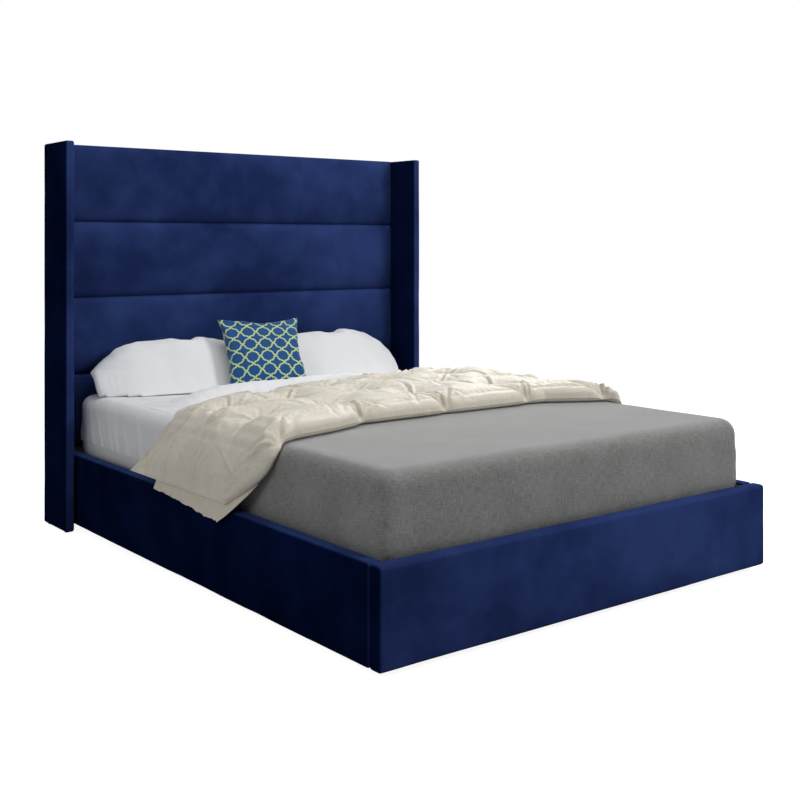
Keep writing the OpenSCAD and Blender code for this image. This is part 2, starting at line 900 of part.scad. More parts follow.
module platform_slats(side) {
    color("wheat")
        sided(side)
            for (i = [0:slats - 1]) along(slat_y(i) - slat_w / 2, slat_w) slat_outline();
}

strap_w = 38;
strap_t = 2;
strap_drop = 44;
strap_r = 12;

// Webbing loop under the foot tube, to pull the platform up by
module lift_strap() {
    y = foot_tube_y + tube_s / 2;
    color("black")
        translate([-strap_w / 2, 0, 0])
            across(0, strap_w)
                difference() {
                    bar_outline([y, tube_z - strap_r / 2], [y, tube_z - strap_drop + strap_r], 2 * strap_r);
                    bar_outline([y, tube_z - strap_r], [y, tube_z - strap_drop + strap_r],
                                2 * (strap_r - strap_t));
                    translate([y - 2 * strap_r, tube_z]) square(4 * strap_r);
                }
}

// Bedding

// Mattress-shaped block, grown by g on its sides and top
module soft_block(g, y0, y1, z0) {
    half = mattress_w / 2 + g;
    top = mattress_top_z + g;
    edge = mattress_edge_r + g;
    corner = mattress_corner_r + g;
    intersection() {
        translate([0, 0, z0])
            linear_extrude(top - z0)
                round_rect([-half, y0], [half, y1], corner);
        along(y0 - cut, y1 - y0 + 2 * cut)
            round_rect([-half, z0], [half, top], edge);
        across(-half - cut, 2 * half + 2 * cut)
            round_rect([y0, z0], [y1, top], edge);
    }
}

module mattress() {
    color("white") soft_block(0, mattress_foot_y, mattress_head_y, mattress_z);
}

// The upper part of the same block, open underneath
module cover_block(g, y0, y1, z0) {
    intersection() {
        soft_block(g, y0, y1, mattress_z - g);
        box([-mattress_w, y0 - cut, z0], [mattress_w, y1 + cut, mattress_top_z + mattress_h]);
    }
}

sheet_drop = 170;

module fitted_sheet() {
    color("white")
        difference() {
            cover_block(sheet_t, mattress_foot_y - sheet_t, mattress_head_y + sheet_t,
                        mattress_top_z - sheet_drop);
            soft_block(0, mattress_foot_y, mattress_head_y, mattress_z);
        }
}

blanket_head_y = mattress_foot_y + blanket_l;
blanket_lift = 10;
blanket_low_z = mattress_z + blanket_lift;

module blanket() {
    g = sheet_t + blanket_t;
    color("darkgray")
        difference() {
            cover_block(g, mattress_foot_y - g, mattress_head_y + g, blanket_low_z);
            soft_block(sheet_t, mattress_foot_y - sheet_t, mattress_head_y + sheet_t, mattress_z - sheet_t);
            box([-mattress_w, blanket_head_y, 0], [mattress_w, bed_l, 2 * mattress_top_z]);
        }
}

// The duvet lies over the mattress and hangs over the left rail. Each row gives a share of its
// width from the right edge, then the distance of its foot and head edges from the mattress's head
duvet_edges = [[0, 1475, 450], [0.14, 1332, 440], [0.32, 1330, 485], [0.41, 1330, 533],
               [0.47, 1331, 543], [0.6, 1334, 610], [0.71, 1391, 640], [0.81, 1435, 770],
               [0.85, 1505, 855], [0.89, 1480, 800], [0.94, 1395, 705], [1, 1280, 570]];
duvet_right_inset = 18;
duvet_right_x = mattress_w / 2 - duvet_right_inset;
duvet_bend_clearance = 1.2;
duvet_bend_r = mattress_edge_r + sheet_t + blanket_t + duvet_bend_clearance;
duvet_bend = 71;
duvet_z = mattress_top_z - mattress_edge_r + duvet_bend_r;
duvet_left_x = -mattress_w / 2 + mattress_edge_r;
duvet_flat_l = duvet_right_x - duvet_left_x;
duvet_bend_l = duvet_bend_r * duvet_bend * PI / 180;
duvet_hang_l = 235;
duvet_w = duvet_flat_l + duvet_bend_l + duvet_hang_l;
duvet_edge_t = 14;
// Share of its loft that the duvet loses down the mattress's side
duvet_hang_loss = 0.55;
// Fullness of the duvet towards its ends and towards its foot and head edges
duvet_fullness = [16, 5, 0.7];
// Columns of the duvet's grid over the mattress, round the bend and down the side
duvet_flat_columns = 26;
duvet_bend_columns = 5;
duvet_hang_columns = 6;
duvet_columns = duvet_flat_columns + duvet_bend_columns + duvet_hang_columns;
duvet_rows = 14;

function duvet_column(i) =
    let (b = i - duvet_flat_columns, h = b - duvet_bend_columns)
    b <= 0 ? duvet_flat_l * i / duvet_flat_columns
    : h <= 0 ? duvet_flat_l + duvet_bend_l * b / duvet_bend_columns
    : duvet_flat_l + duvet_bend_l + duvet_hang_l * h / duvet_hang_columns;

// Point under the duvet at a distance from its right edge, as [x, z], and the turn of its surface there
function duvet_turn(d) = max(0, min(duvet_bend, (d - duvet_flat_l) / duvet_bend_r * 180 / PI));
function duvet_under(d) =
    let (a = duvet_turn(d), hang = max(0, d - duvet_flat_l - duvet_bend_l))
    [duvet_right_x - min(d, duvet_flat_l) - duvet_bend_r * sin(a) - hang * cos(a),
     duvet_z - duvet_bend_r * (1 - cos(a)) - hang * sin(a)];
function duvet_edge(d, k) = mattress_head_y - lookup(d / duvet_w, [for (e = duvet_edges) [e[0], e[k]]]);
function rim(t, power) = 1 - pow(abs(2 * t - 1), power);
// Sewn tufts, as distances from the duvet's right edge and from the mattress's head
duvet_tufts = [[45, 1157], [335, 1145], [726, 1150], [1115, 1187], [1400, 1237], [103, 967],
               [441, 952], [834, 956], [1142, 977], [1395, 1007], [232, 762], [580, 755],
               [864, 752], [1106, 772], [352, 592], [640, 562], [60, 577]];
function tuft(d, y) = max([for (t = duvet_tufts) exp(-pow(norm([d, mattress_head_y - y] - t) / tuft_r, 2))]);
function duvet_thickness(u, v, d, y) =
    duvet_edge_t + (duvet_loft - duvet_edge_t - tuft_depth * tuft(d, y))
    * pow(rim(u, duvet_fullness[0]) * rim(v, duvet_fullness[1]), duvet_fullness[2])
    * (1 - duvet_hang_loss * duvet_turn(d) / duvet_bend);

function duvet_point(i, j, upper) =
    let (d = duvet_column(i), u = d / duvet_w, v = j / duvet_rows,
         y = duvet_edge(d, 1) + v * (duvet_edge(d, 2) - duvet_edge(d, 1)),
         p = duvet_under(d), a = duvet_turn(d), t = upper ? duvet_thickness(u, v, d, y) : 0)
    [p[0] - t * sin(a), y, p[1] + t * cos(a)];

function grid_faces(m, n, first, flip) =
    [for (i = [0:m - 1]) for (j = [0:n - 1]) for (half = [0, 1])
        let (a = first + i * (n + 1) + j, b = a + n + 1,
             f = half == 0 ? [a, b, b + 1] : [a, b + 1, a + 1])
        flip ? [f[2], f[1], f[0]] : f];

// Sheet between an upper and a lower grid of points, each of (m + 1) rows of n + 1
module grid_solid(upper, lower, m, n) {
    k = (m + 1) * (n + 1);
    rim_path = concat([for (j = [0:n]) j], [for (i = [1:m]) i * (n + 1) + n],
                      [for (j = [n - 1:-1:0]) m * (n + 1) + j], [for (i = [m - 1:-1:1]) i * (n + 1)]);
    walls = [for (e = [0:len(rim_path) - 1]) for (half = [0, 1])
        let (a = rim_path[e], b = rim_path[(e + 1) % len(rim_path)])
        half == 0 ? [a, b, b + k] : [a, b + k, a + k]];
    polyhedron(concat(upper, lower),
               concat(grid_faces(m, n, 0, false), grid_faces(m, n, k, true), walls));
}

module duvet() {
    color("antiquewhite")
        grid_solid([for (i = [0:duvet_columns]) for (j = [0:duvet_rows]) duvet_point(i, j, true)],
                   [for (i = [0:duvet_columns]) for (j = [0:duvet_rows]) duvet_point(i, j, false)],
                   duvet_columns, duvet_rows);
}

// White top sheet, thin under the duvet and puffed up between the duvet's edge and the pillows
top_sheet_t = 3;
top_sheet_puff = 55;
top_sheet_blanket_gap = 8;
top_sheet_head_inset = 425;
// Distance of the puff from the duvet's head edge, and the length over which it builds up
top_sheet_puff_gap = 15;
top_sheet_puff_run = 60;
// Length over which the puff rises from the mattress's left edge
top_sheet_side_run = 330;
top_sheet_x = [mattress_edge_r - mattress_w / 2, duvet_right_x];
top_sheet_y = [blanket_head_y + top_sheet_blanket_gap, mattress_head_y - top_sheet_head_inset];
top_sheet_columns = 20;
top_sheet_rows = 12;
// Rows of the sheet's grid under the duvet
top_sheet_under_rows = 4;
// Least depth of the puffed part, where the duvet reaches the sheet's end
top_sheet_least_puff = 3;
top_sheet_z = sheet_top_z + seat;

function top_sheet_point(i, j, upper) =
    let (x = top_sheet_x[1] + (top_sheet_x[0] - top_sheet_x[1]) * i / top_sheet_columns,
         y0 = min(duvet_edge(duvet_right_x - x, 2) + top_sheet_puff_gap,
                  top_sheet_y[1] - top_sheet_least_puff),
         k = j / top_sheet_under_rows,
         s = (j - top_sheet_under_rows) / (top_sheet_rows - top_sheet_under_rows),
         y = s < 0 ? top_sheet_y[0] + k * (y0 - top_sheet_y[0]) : y0 + s * (top_sheet_y[1] - y0),
         side = (1 - cos(180 * min(1, (x - top_sheet_x[0]) / top_sheet_side_run))) / 2,
         swell = side * min(1, (top_sheet_y[1] - y0) / top_sheet_puff_run),
         rise = s <= 0 || s >= 1 ? 0 : top_sheet_puff * swell * pow(sin(180 * s), 0.8))
    [x, y, top_sheet_z + (upper ? top_sheet_t + rise : 0)];

module top_sheet() {
    m = top_sheet_columns;
    n = top_sheet_rows;
    color("white")
        grid_solid([for (i = [0:m]) for (j = [0:n]) top_sheet_point(i, j, true)],
                   [for (i = [0:m]) for (j = [0:n]) top_sheet_point(i, j, false)], m, n);
}

// Stuffed cushion: rings of points run from the crown over the seam to the underside. The sides
// are drawn in between the corners, the corners droop, and the underside is flat on the floor height given
cushion_sides = 40;
cushion_rings = 7;

function drawn_in(a, w, d, pinch) =
    let (c = cos(a), s = sin(a), k = 1 / pow(pow(abs(c), 8) + pow(abs(s), 8), 1 / 8),
         in = 1 - pinch * (1 - pow(sin(2 * a), 2)))
    [w / 2 * c * k * in, d / 2 * s * k * in];
function stuffed(r, t, a) = t / 2 * pow(1 - pow(r, 2.4), 0.62) * (1 - 0.3 * pow(sin(2 * a), 4) * r);
function lean(p, a) = [p[0], p[1] * cos(a) - p[2] * sin(a), p[1] * sin(a) + p[2] * cos(a)];
function sag(p, w, d) = pow(min(1, abs(p[0]) / (w / 2)), 4) * pow(min(1, abs(p[1]) / (d / 2)), 2);

module stuffed_cushion(w, d, t, at, tilt, spin, floor, pinch, droop) {
    ring_r = [for (k = [1:cushion_rings]) sin(90 * k / cushion_rings)];
    rings = concat([for (k = [0:cushion_rings - 1]) [ring_r[k], 1]],
                   [for (k = [cushion_rings - 2:-1:0]) [ring_r[k], -1]]);
    n = cushion_sides;
    raw = concat(
        [[0, 0, t / 2], [0, 0, -t / 2]],
        [for (g = rings) for (i = [0:n - 1])
            let (a = 360 * i / n, o = drawn_in(a, w, d, pinch))
            [o[0] * g[0], o[1] * g[0], g[1] * stuffed(g[0], t, a)]]);
    points = [for (p = raw)
        let (q = lean(p, tilt), s = turn([q[0], q[1]], spin))
        [at[0] + s[0], at[1] + s[1], at[2] + q[2] - droop * sag(p, w, d)]];
    last = 2 + (len(rings) - 1) * n;
    difference() {
        polyhedron(points, concat(
            [for (i = [0:n - 1]) [2 + (i + 1) % n, 2 + i, 0]],
            [for (g = [0:len(rings) - 2]) for (i = [0:n - 1]) for (half = [0, 1])
                let (a = 2 + g * n + i, b = 2 + g * n + (i + 1) % n)
                half == 0 ? [a, b, b + n] : [a, b + n, a + n]],
            [for (i = [0:n - 1]) [last + i, last + (i + 1) % n, 1]]));
        box([at[0] - w, at[1] - w, floor - w], [at[0] + w, at[1] + w, floor]);
    }
}

pillow_tilt = 54;
pillow_spin = -7;
pillow_pinch = 0.02;
pillow_droop = 140;
pillow_floor = sheet_top_z + seat;
pillow_side_inset = 372;
pillow_head_inset = 167;
pillow_rise = 29;

module pillow(side) {
    color("white")
        stuffed_cushion(pillow_l, pillow_d, pillow_t,
                        [side * (mattress_w / 2 - pillow_side_inset), mattress_head_y - pillow_head_inset,
                         sheet_top_z + pillow_rise],
                        pillow_tilt, -pillow_spin * side, pillow_floor, pillow_pinch, pillow_droop);
}

cushion_tilt = 56;
cushion_spin = -15;
cushion_pinch = 0.08;
cushion_droop = 0;
cushion_floor = sheet_top_z + seat;
cushion_x = -79;
cushion_head_inset = 294;
cushion_rise = 136;

module scatter_cushion() {
    color("steelblue")
        stuffed_cushion(cushion_s, cushion_s, cushion_t,
                        [cushion_x, mattress_head_y - cushion_head_inset, sheet_top_z + cushion_rise],
                        cushion_tilt, cushion_spin, cushion_floor, cushion_pinch, cushion_droop);
}

headboard_channel(1);  // headboard_channel_1
headboard_channel(2);  // headboard_channel_2
headboard_channel(3);  // headboard_channel_3
headboard_channel(4);  // headboard_channel_4
headboard_panel();
headboard_battens();
headboard_back_cover();
headboard_bolts();
wing_board(LEFT);  // left_wing_board
wing_board(RIGHT);  // right_wing_board
wing_cover(LEFT);  // left_wing_cover
wing_cover(RIGHT);  // right_wing_cover
rail_board(LEFT);  // left_rail_board
rail_board(RIGHT);  // right_rail_board
rail_cover(LEFT);  // left_rail_cover
rail_cover(RIGHT);  // right_rail_cover
foot_board();
foot_cover();
head_board();
corner_brackets();
bracket_bolts();
glides();
base_battens();
floor_panel(LEFT);  // left_floor_panel
floor_panel(RIGHT);  // right_floor_panel
floor_joiner();
rubber_buffers();
lift_plate(LEFT);  // left_lift_plate
lift_plate(RIGHT);  // right_lift_plate
lift_plate_screws();
lift_plate_pins();
rear_arm(LEFT);  // left_rear_arm
rear_arm(RIGHT);  // right_rear_arm
front_arm(LEFT);  // left_front_arm
front_arm(RIGHT);  // right_front_arm
gas_cylinder(LEFT);  // left_gas_cylinder
gas_cylinder(RIGHT);  // right_gas_cylinder
gas_rod(LEFT);  // left_gas_rod
gas_rod(RIGHT);  // right_gas_rod
lift_bracket(LEFT);  // left_lift_bracket
lift_bracket(RIGHT);  // right_lift_bracket
lift_bracket_pins();
platform_side_tube(LEFT);  // platform_left_tube
platform_side_tube(RIGHT);  // platform_right_tube
platform_cross_tube(platform_y[1] - tube_s);  // platform_head_tube
platform_cross_tube(platform_y[0]);  // platform_foot_tube
platform_centre_tube();
slat_holders();
platform_slats(LEFT);  // left_slats
platform_slats(RIGHT);  // right_slats
lift_strap();
mattress();
fitted_sheet();
top_sheet();
blanket();
duvet();
pillow(LEFT);  // left_pillow
pillow(RIGHT);  // right_pillow
scatter_cushion();
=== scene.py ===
"""Looks of the upholstered storage bed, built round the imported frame. All lengths are metres."""

import itertools
import math

import bmesh
import bpy
import numpy as np
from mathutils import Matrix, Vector


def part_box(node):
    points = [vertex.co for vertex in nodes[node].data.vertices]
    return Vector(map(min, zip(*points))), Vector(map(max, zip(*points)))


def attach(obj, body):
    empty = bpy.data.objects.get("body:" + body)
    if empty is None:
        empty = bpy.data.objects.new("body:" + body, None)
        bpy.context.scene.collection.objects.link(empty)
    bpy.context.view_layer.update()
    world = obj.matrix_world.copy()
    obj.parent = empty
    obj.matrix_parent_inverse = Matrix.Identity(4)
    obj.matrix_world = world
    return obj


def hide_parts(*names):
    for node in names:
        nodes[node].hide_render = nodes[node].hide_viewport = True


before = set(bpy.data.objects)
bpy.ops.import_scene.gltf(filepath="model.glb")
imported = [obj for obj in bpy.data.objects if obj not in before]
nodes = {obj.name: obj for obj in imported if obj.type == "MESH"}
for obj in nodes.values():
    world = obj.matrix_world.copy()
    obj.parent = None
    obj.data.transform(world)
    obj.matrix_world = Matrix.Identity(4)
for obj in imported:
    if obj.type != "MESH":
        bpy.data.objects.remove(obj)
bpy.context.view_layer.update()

LEFT, RIGHT = -1, 1
SIDES = {"left": LEFT, "right": RIGHT}
MM = 0.001
MICRONS = 1e6  # in a metre

# Camera, light and floor

CAMERA_AT = (-2.536, -3.369, 1.103)
CAMERA_TURN_DEG = -37.89
LENS_MM = 51.82
SHIFT_Y = -0.197
FLOOR_HALF = 60
FLOOR_COLOUR = (0.55, 0.55, 0.55, 1)
FLOOR_GLOW = 0.90
WORLD_COLOUR = (0.95, 0.97, 1, 1)
WORLD_FILL = 0.18


def new_object(name, data):
    thing = bpy.data.objects.new(name, data)
    bpy.context.scene.collection.objects.link(thing)
    return thing


def new_mesh(name, points, faces):
    mesh = bpy.data.meshes.new(name)
    mesh.from_pydata(np.asarray(points).tolist(), [], np.asarray(faces).tolist())
    mesh.update()
    return mesh


def add_camera():
    data = bpy.data.cameras.new("camera")
    data.lens = LENS_MM
    data.sensor_width = 36
    data.shift_y = SHIFT_Y
    camera = new_object("camera", data)
    camera.location = CAMERA_AT
    camera.rotation_euler = (math.radians(90), 0, math.radians(CAMERA_TURN_DEG))
    bpy.context.scene.camera = camera


def add_area_light(name, at, target, size, power):
    data = bpy.data.lights.new(name, "AREA")
    data.shape = "RECTANGLE"
    data.size, data.size_y = size
    data.energy = power
    lamp = new_object(name, data)
    lamp.location = at
    lamp.rotation_mode = "QUATERNION"
    lamp.rotation_quaternion = (Vector(target) - Vector(at)).to_track_quat("-Z", "Y")


class Nodes:
    """A material's node tree, with short ways to add nodes and link them."""

    def __init__(self, name, **settings):
        self.material = bpy.data.materials.new(name)
        self.material.use_nodes = True
        self.tree = self.material.node_tree
        self.shader = self.tree.nodes["Principled BSDF"]
        for key, value in settings.items():
            self.put(self.shader, key.replace("_", " ").title().replace("Ior", "IOR"), value)

    def put(self, node, key, value):
        socket = node.inputs[key]
        if isinstance(value, bpy.types.NodeSocket):
            self.tree.links.new(value, socket)
        else:
            socket.default_value = value

    def add(self, kind, inputs=None, **attributes):
        node = self.tree.nodes.new(kind)
        for key, value in attributes.items():
            setattr(node, key, value)
        for key, value in (inputs or {}).items():
            self.put(node, key, value)
        return node

    def coordinates(self, kind="Object"):
        return self.add("ShaderNodeTexCoord").outputs[kind]

    def scaled(self, vector, scale, turn_deg=0):
        mapping = self.add("ShaderNodeMapping", {"Vector": vector, "Scale": scale})
        mapping.inputs["Rotation"].default_value = (0, 0, math.radians(turn_deg))
        return mapping.outputs[0]

    def noise(self, vector, scale, detail=4, roughness=0.55):
        inputs = {"Vector": vector, "Scale": scale, "Detail": detail, "Roughness": roughness}
        return self.add("ShaderNodeTexNoise", inputs).outputs[0]

    def math(self, operation, a, b=0.0, c=0.0):
        node = self.add("ShaderNodeMath", operation=operation)
        for i, value in enumerate((a, b, c)):
            self.put(node, i, value)
        return node.outputs[0]

    def times(self, a, b):
        return self.math("MULTIPLY", a, b)

    def times_plus(self, a, b, c):
        return self.math("MULTIPLY_ADD", a, b, c)

    def minus(self, a, b):
        return self.math("SUBTRACT", a, b)

    def size(self, a):
        return self.math("ABSOLUTE", a)

    def ramp(self, factor, low, high, first=0.0, last=1.0):
        """Maps low..high of a factor onto first..last, clamped."""
        ends = {"From Min": low, "From Max": high, "To Min": first, "To Max": last}
        return self.add("ShaderNodeMapRange", {"Value": factor, **ends}).outputs[0]

    def split(self, vector):
        return self.add("ShaderNodeSeparateXYZ", {0: vector}).outputs

    def mix(self, factor, a, b):
        node = self.add("ShaderNodeMix", data_type="RGBA")
        for key, value in ((0, factor), (6, a), (7, b)):
            self.put(node, key, (*value, 1) if isinstance(value, tuple) else value)
        return node.outputs[2]

    def bump(self, height, distance, strength=1.0):
        chain = self.shader.inputs["Normal"]
        inputs = {"Height": height, "Distance": distance, "Strength": strength}
        if chain.links:
            inputs["Normal"] = chain.links[0].from_socket
        node = self.add("ShaderNodeBump", inputs)
        self.tree.links.new(node.outputs[0], chain)

    def colour(self, socket):
        self.put(self.shader, "Base Color", socket)

    def rough(self, socket, low, high):
        self.put(self.shader, "Roughness", self.ramp(socket, 0.0, 1.0, low, high))


def seen_white(m, lit, strength):
    """Adds plain white to what the camera and reflections see of a stage material."""
    path = m.add("ShaderNodeLightPath")
    seen = m.math("MAXIMUM", path.outputs["Is Camera Ray"], path.outputs["Is Glossy Ray"])
    seen = m.math("MAXIMUM", seen, path.outputs["Is Transmission Ray"])
    glow = m.add("ShaderNodeEmission", {"Color": (1, 1, 1, 1), "Strength": strength})
    both = m.add("ShaderNodeAddShader", {0: lit, 1: glow.outputs[0]})
    return m.add("ShaderNodeMixShader", {0: seen, 1: lit, 2: both.outputs[0]}).outputs[0]


def add_stage():
    half = FLOOR_HALF
    corners = [(-half, -half, 0), (half, -half, 0), (half, half, 0), (-half, half, 0)]
    mesh = new_mesh("floor", corners, [(0, 1, 2, 3)])
    floor = new_object("floor", mesh)
    pale = Nodes("pale_floor", base_color=FLOOR_COLOUR, roughness=1.0, specular_ior_level=0.0)
    out = pale.tree.nodes["Material Output"].inputs["Surface"]
    pale.tree.links.new(seen_white(pale, pale.shader.outputs[0], FLOOR_GLOW), out)
    mesh.materials.append(pale.material)

    world = bpy.data.worlds.new("studio")
    world.use_nodes = True
    tree = world.node_tree
    tree.nodes.clear()
    path, seen, fill, white, mix, out = (
        tree.nodes.new("ShaderNode" + kind)
        for kind in ("LightPath", "Math", "Background", "Background", "MixShader", "OutputWorld")
    )
    seen.operation = "MAXIMUM"
    for shade, colour, strength in ((fill, WORLD_COLOUR, WORLD_FILL), (white, (1, 1, 1, 1), 1)):
        shade.inputs["Color"].default_value = colour
        shade.inputs["Strength"].default_value = strength
    for start, end in (
        (path.outputs["Is Camera Ray"], seen.inputs[0]), (path.outputs["Is Glossy Ray"], seen.inputs[1]),
        (seen.outputs[0], mix.inputs[0]), (fill.outputs[0], mix.inputs[1]),
        (white.outputs[0], mix.inputs[2]), (mix.outputs[0], out.inputs["Surface"]),
    ):
        tree.links.new(start, end)
    bpy.context.scene.world = world


bpy.context.scene.view_settings.view_transform = "Standard"
add_camera()
add_stage()
add_area_light("key", (2.7, -3.9, 2.9), (0, 0, 0.6), (1.1, 1.3), 114)
add_area_light("top", (0.2, -0.1, 3.9), (0, 0, 0.4), (2.6, 2.6), 62)
add_area_light("back", (2.7, 1.7, 2.3), (0, -0.5, 0.5), (0.9, 0.9), 54)
add_area_light("left", (-3.6, -1.6, 1.9), (0, 0, 0.4), (1.6, 1.2), 27)


# Materials


def velvet():
    """Navy pile with painted shade and light: faces turned to the left are painted nearly black, and faces
    turned up are painted lighter.
    """
    m = Nodes("navy_velvet_pile", roughness=0.9, specular_ior_level=0.0)
    m.put(m.shader, "Sheen Roughness", 0.3)
    m.put(m.shader, "Sheen Tint", (0.26, 0.42, 1.0, 1))
    at = m.coordinates()
    facing = m.split(m.coordinates("Normal"))
    # Painted shade: faces turned to the left get a near-black colour and less sheen, standing in for the
    # shade on that side.
    left_shade_mask = m.ramp(m.times(facing[0], -1.0), 0.25, 0.85)
    brushed = m.noise(m.scaled(at, (0.8, 1, 1.2)), 2.6, 2)
    patch = m.noise(m.scaled(at, (1, 1, 0.9)), 9, 4, 0.6)
    pile = m.noise(at, 900, 2)
    tone = m.times_plus(brushed, 0.6, m.times(patch, 0.4))
    # Random brushed patches plus painted top light: faces turned up are made lighter by their normal.
    patches_and_top_light = m.times_plus(m.ramp(facing[2], -0.3, 0.3), 0.14, m.minus(tone, 0.07))
    base = m.mix(m.ramp(patches_and_top_light, 0.38, 0.64), (0.0088, 0.0170, 0.070), (0.026, 0.047, 0.160))
    base = m.mix(m.times(m.ramp(pile, 0.35, 0.7), 0.3), base, (0.030, 0.056, 0.19))
    # Near-black navy painted onto left-facing faces as painted shade.
    painted_left_shade_navy = m.mix(m.ramp(tone, 0.38, 0.62), (0.0009, 0.0036, 0.020), (0.0028, 0.0085, 0.042))
    m.colour(m.mix(left_shade_mask, base, painted_left_shade_navy))
    # Sheen is cut on left-facing faces as part of the painted shade.
    sheen = m.times(m.minus(1.0, m.times(left_shade_mask, 0.9)), 0.24)
    m.put(m.shader, "Sheen Weight", sheen)
    m.bump(pile, 0.0006, 0.5)
    m.bump(patch, 0.002, 0.25)
    return m.material


def woven(name, dark, light, thread, slub, roughness, depth, sheen=0.2, sheen_rough=0.5, painted_top_light=0.0):
    """Nodes of a plain weave laid along the mesh's own unrolled coordinates, in metres."""
    m = Nodes(name, roughness=roughness, specular_ior_level=0.3)
    m.put(m.shader, "Sheen Weight", sheen)
    m.put(m.shader, "Sheen Roughness", sheen_rough)
    at = m.coordinates("UV")
    along = m.noise(m.scaled(at, (1 / slub, 1 / thread, 1)), 1, 3)
    across = m.noise(m.scaled(at, (1 / thread, 1 / slub, 1)), 1, 3)
    cloudy = m.noise(at, 6, 3)
    both = m.math("ADD", along, across)
    tone = m.times_plus(both, 0.42, m.times(cloudy, 0.16))
    cloth = m.mix(m.ramp(tone, 0.36, 0.64), dark, light)
    # Painted top light: faces turned up are mixed towards the light colour.
    if painted_top_light:
        up = m.times(m.ramp(m.split(m.coordinates("Normal"))[2], 0.5, 1.0), painted_top_light)
        cloth = m.mix(up, cloth, light)
    m.colour(cloth)
    wave = {"Vector": at, "Scale": 0.5 / thread / math.pi, "Distortion": 0.6, "Detail": 1.0}
    waves = [
        m.add("ShaderNodeTexWave", wave, wave_type="BANDS", bands_direction=axis).outputs[1]
        for axis in ("X", "Y")
    ]
    m.bump(m.times(*waves), depth, 0.6)
    m.bump(both, depth * 1.6, 0.5)
    return m


def cotton(name, colour, thread=0.0009):
    dark = tuple(0.94 * c for c in colour)
    return woven(name, dark, colour, thread, thread * 14, 0.85, 0.00012, 0.12).material


def satin():
    dark, light = (0.54, 0.495, 0.40), (0.70, 0.655, 0.56)
    m = woven("cream_satin_cloth", dark, light, 0.0012, 0.03, 0.58, 0.00012, 0.25)
    m.put(m.shader, "Specular IOR Level", 0.35)
    return m.material


def wood(name, dark, light, along, ring=0.012):
    """Sawn or laminated wood with its grain along axis 0, 1 or 2."""
    m = Nodes(name, roughness=0.6)
    at = m.coordinates()
    stretch = [1 / ring, 1 / ring, 1 / ring]
    stretch[along] = 1.4
    grain = m.noise(m.scaled(at, stretch), 1, 6, 0.62)
    fine = m.noise(m.scaled(at, [s * (5 if i != along else 6) for i, s in enumerate(stretch)]), 1, 3)
    tone = m.times_plus(grain, 0.7, m.times(fine, 0.3))
    m.colour(m.mix(m.ramp(tone, 0.34, 0.66), dark, light))
    m.rough(tone, 0.5, 0.72)
    m.bump(fine, 0.0003, 0.5)
    return m.material


def plywood(across):
    """Pale veneer with its plies showing across axis 0, 1 or 2 of its edges."""
    m = Nodes(f"plywood_{'xyz'[across]}", roughness=0.62)
    at = m.coordinates()
    stretch = [60, 60, 60]
    stretch[(across + 1) % 3] = 5
    grain = m.noise(m.scaled(at, stretch), 1, 5, 0.6)
    m.colour(m.mix(m.ramp(grain, 0.35, 0.68), (0.42, 0.29, 0.165), (0.62, 0.46, 0.29)))
    m.bump(grain, 0.0003, 0.4)
    return m.material


def metal(name, colour, roughness, metallic, grain=0.0, coat=0.0):
    m = Nodes(name, metallic=metallic)
    m.put(m.shader, "Coat Weight", coat)
    at = m.coordinates()
    mottle = m.noise(at, 60, 4)
    fine = m.noise(at, 1400, 2)
    m.colour(m.mix(mottle, tuple(0.86 * c for c in colour), colour))
    m.rough(mottle, roughness - 0.06, roughness + 0.08)
    m.bump(fine, 0.00008, grain)
    return m.material


def plastic(name, colour, roughness=0.5):
    m = Nodes(name)
    at = m.coordinates()
    mottle = m.noise(at, 700, 3)
    m.colour(m.mix(mottle, tuple(0.88 * c for c in colour), colour))
    m.rough(mottle, roughness - 0.05, roughness + 0.1)
    m.bump(mottle, 0.0001, 0.4)
    return m.material


LATTICE_PITCH = (0.049, 0.045)
LATTICE_LINE = (0.066, 0.084)  # where a line's full colour ends and where it is gone, in pitches


def lattice():
    """Blue cotton with a printed quatrefoil lattice in lime, on the cushion's own flat coordinates."""
    n = woven(
        "blue_lattice_print", (0.0020, 0.050, 0.175), (0.004, 0.078, 0.27), 0.0011, 0.012, 0.8, 0.00012
    )
    cloth = n.shader.inputs["Base Color"].links[0].from_socket
    at = n.split(n.scaled(n.coordinates("UV"), (1 / LATTICE_PITCH[0], 1 / LATTICE_PITCH[1], 1), 45))
    cell = [n.math("FLOOR", at[i]) for i in (0, 1)]
    off = [n.size(n.minus(n.minus(at[i], cell[i]), 0.5)) for i in (0, 1)]
    odd = n.size(n.math("FLOORED_MODULO", n.math("ADD", *cell), 2.0))
    way = n.minus(1.0, n.times(odd, 2.0))
    reach = []
    for i in (0, 1):
        bump = n.times(n.ramp(off[1 - i], 0.14, 0.22, 0.085, 0.0), way)
        reach.append(n.size(n.minus(n.minus(0.5, bump), off[i])))
    line = n.ramp(n.math("MINIMUM", *reach), *LATTICE_LINE, 1.0, 0.0)
    thread = n.noise(n.coordinates("UV"), 700, 2)
    ink = n.mix(n.ramp(thread, 0.3, 0.7), (0.38, 0.53, 0.19), (0.56, 0.70, 0.36))
    n.colour(n.mix(line, cloth, ink))
    return n.material


VELVET = velvet()
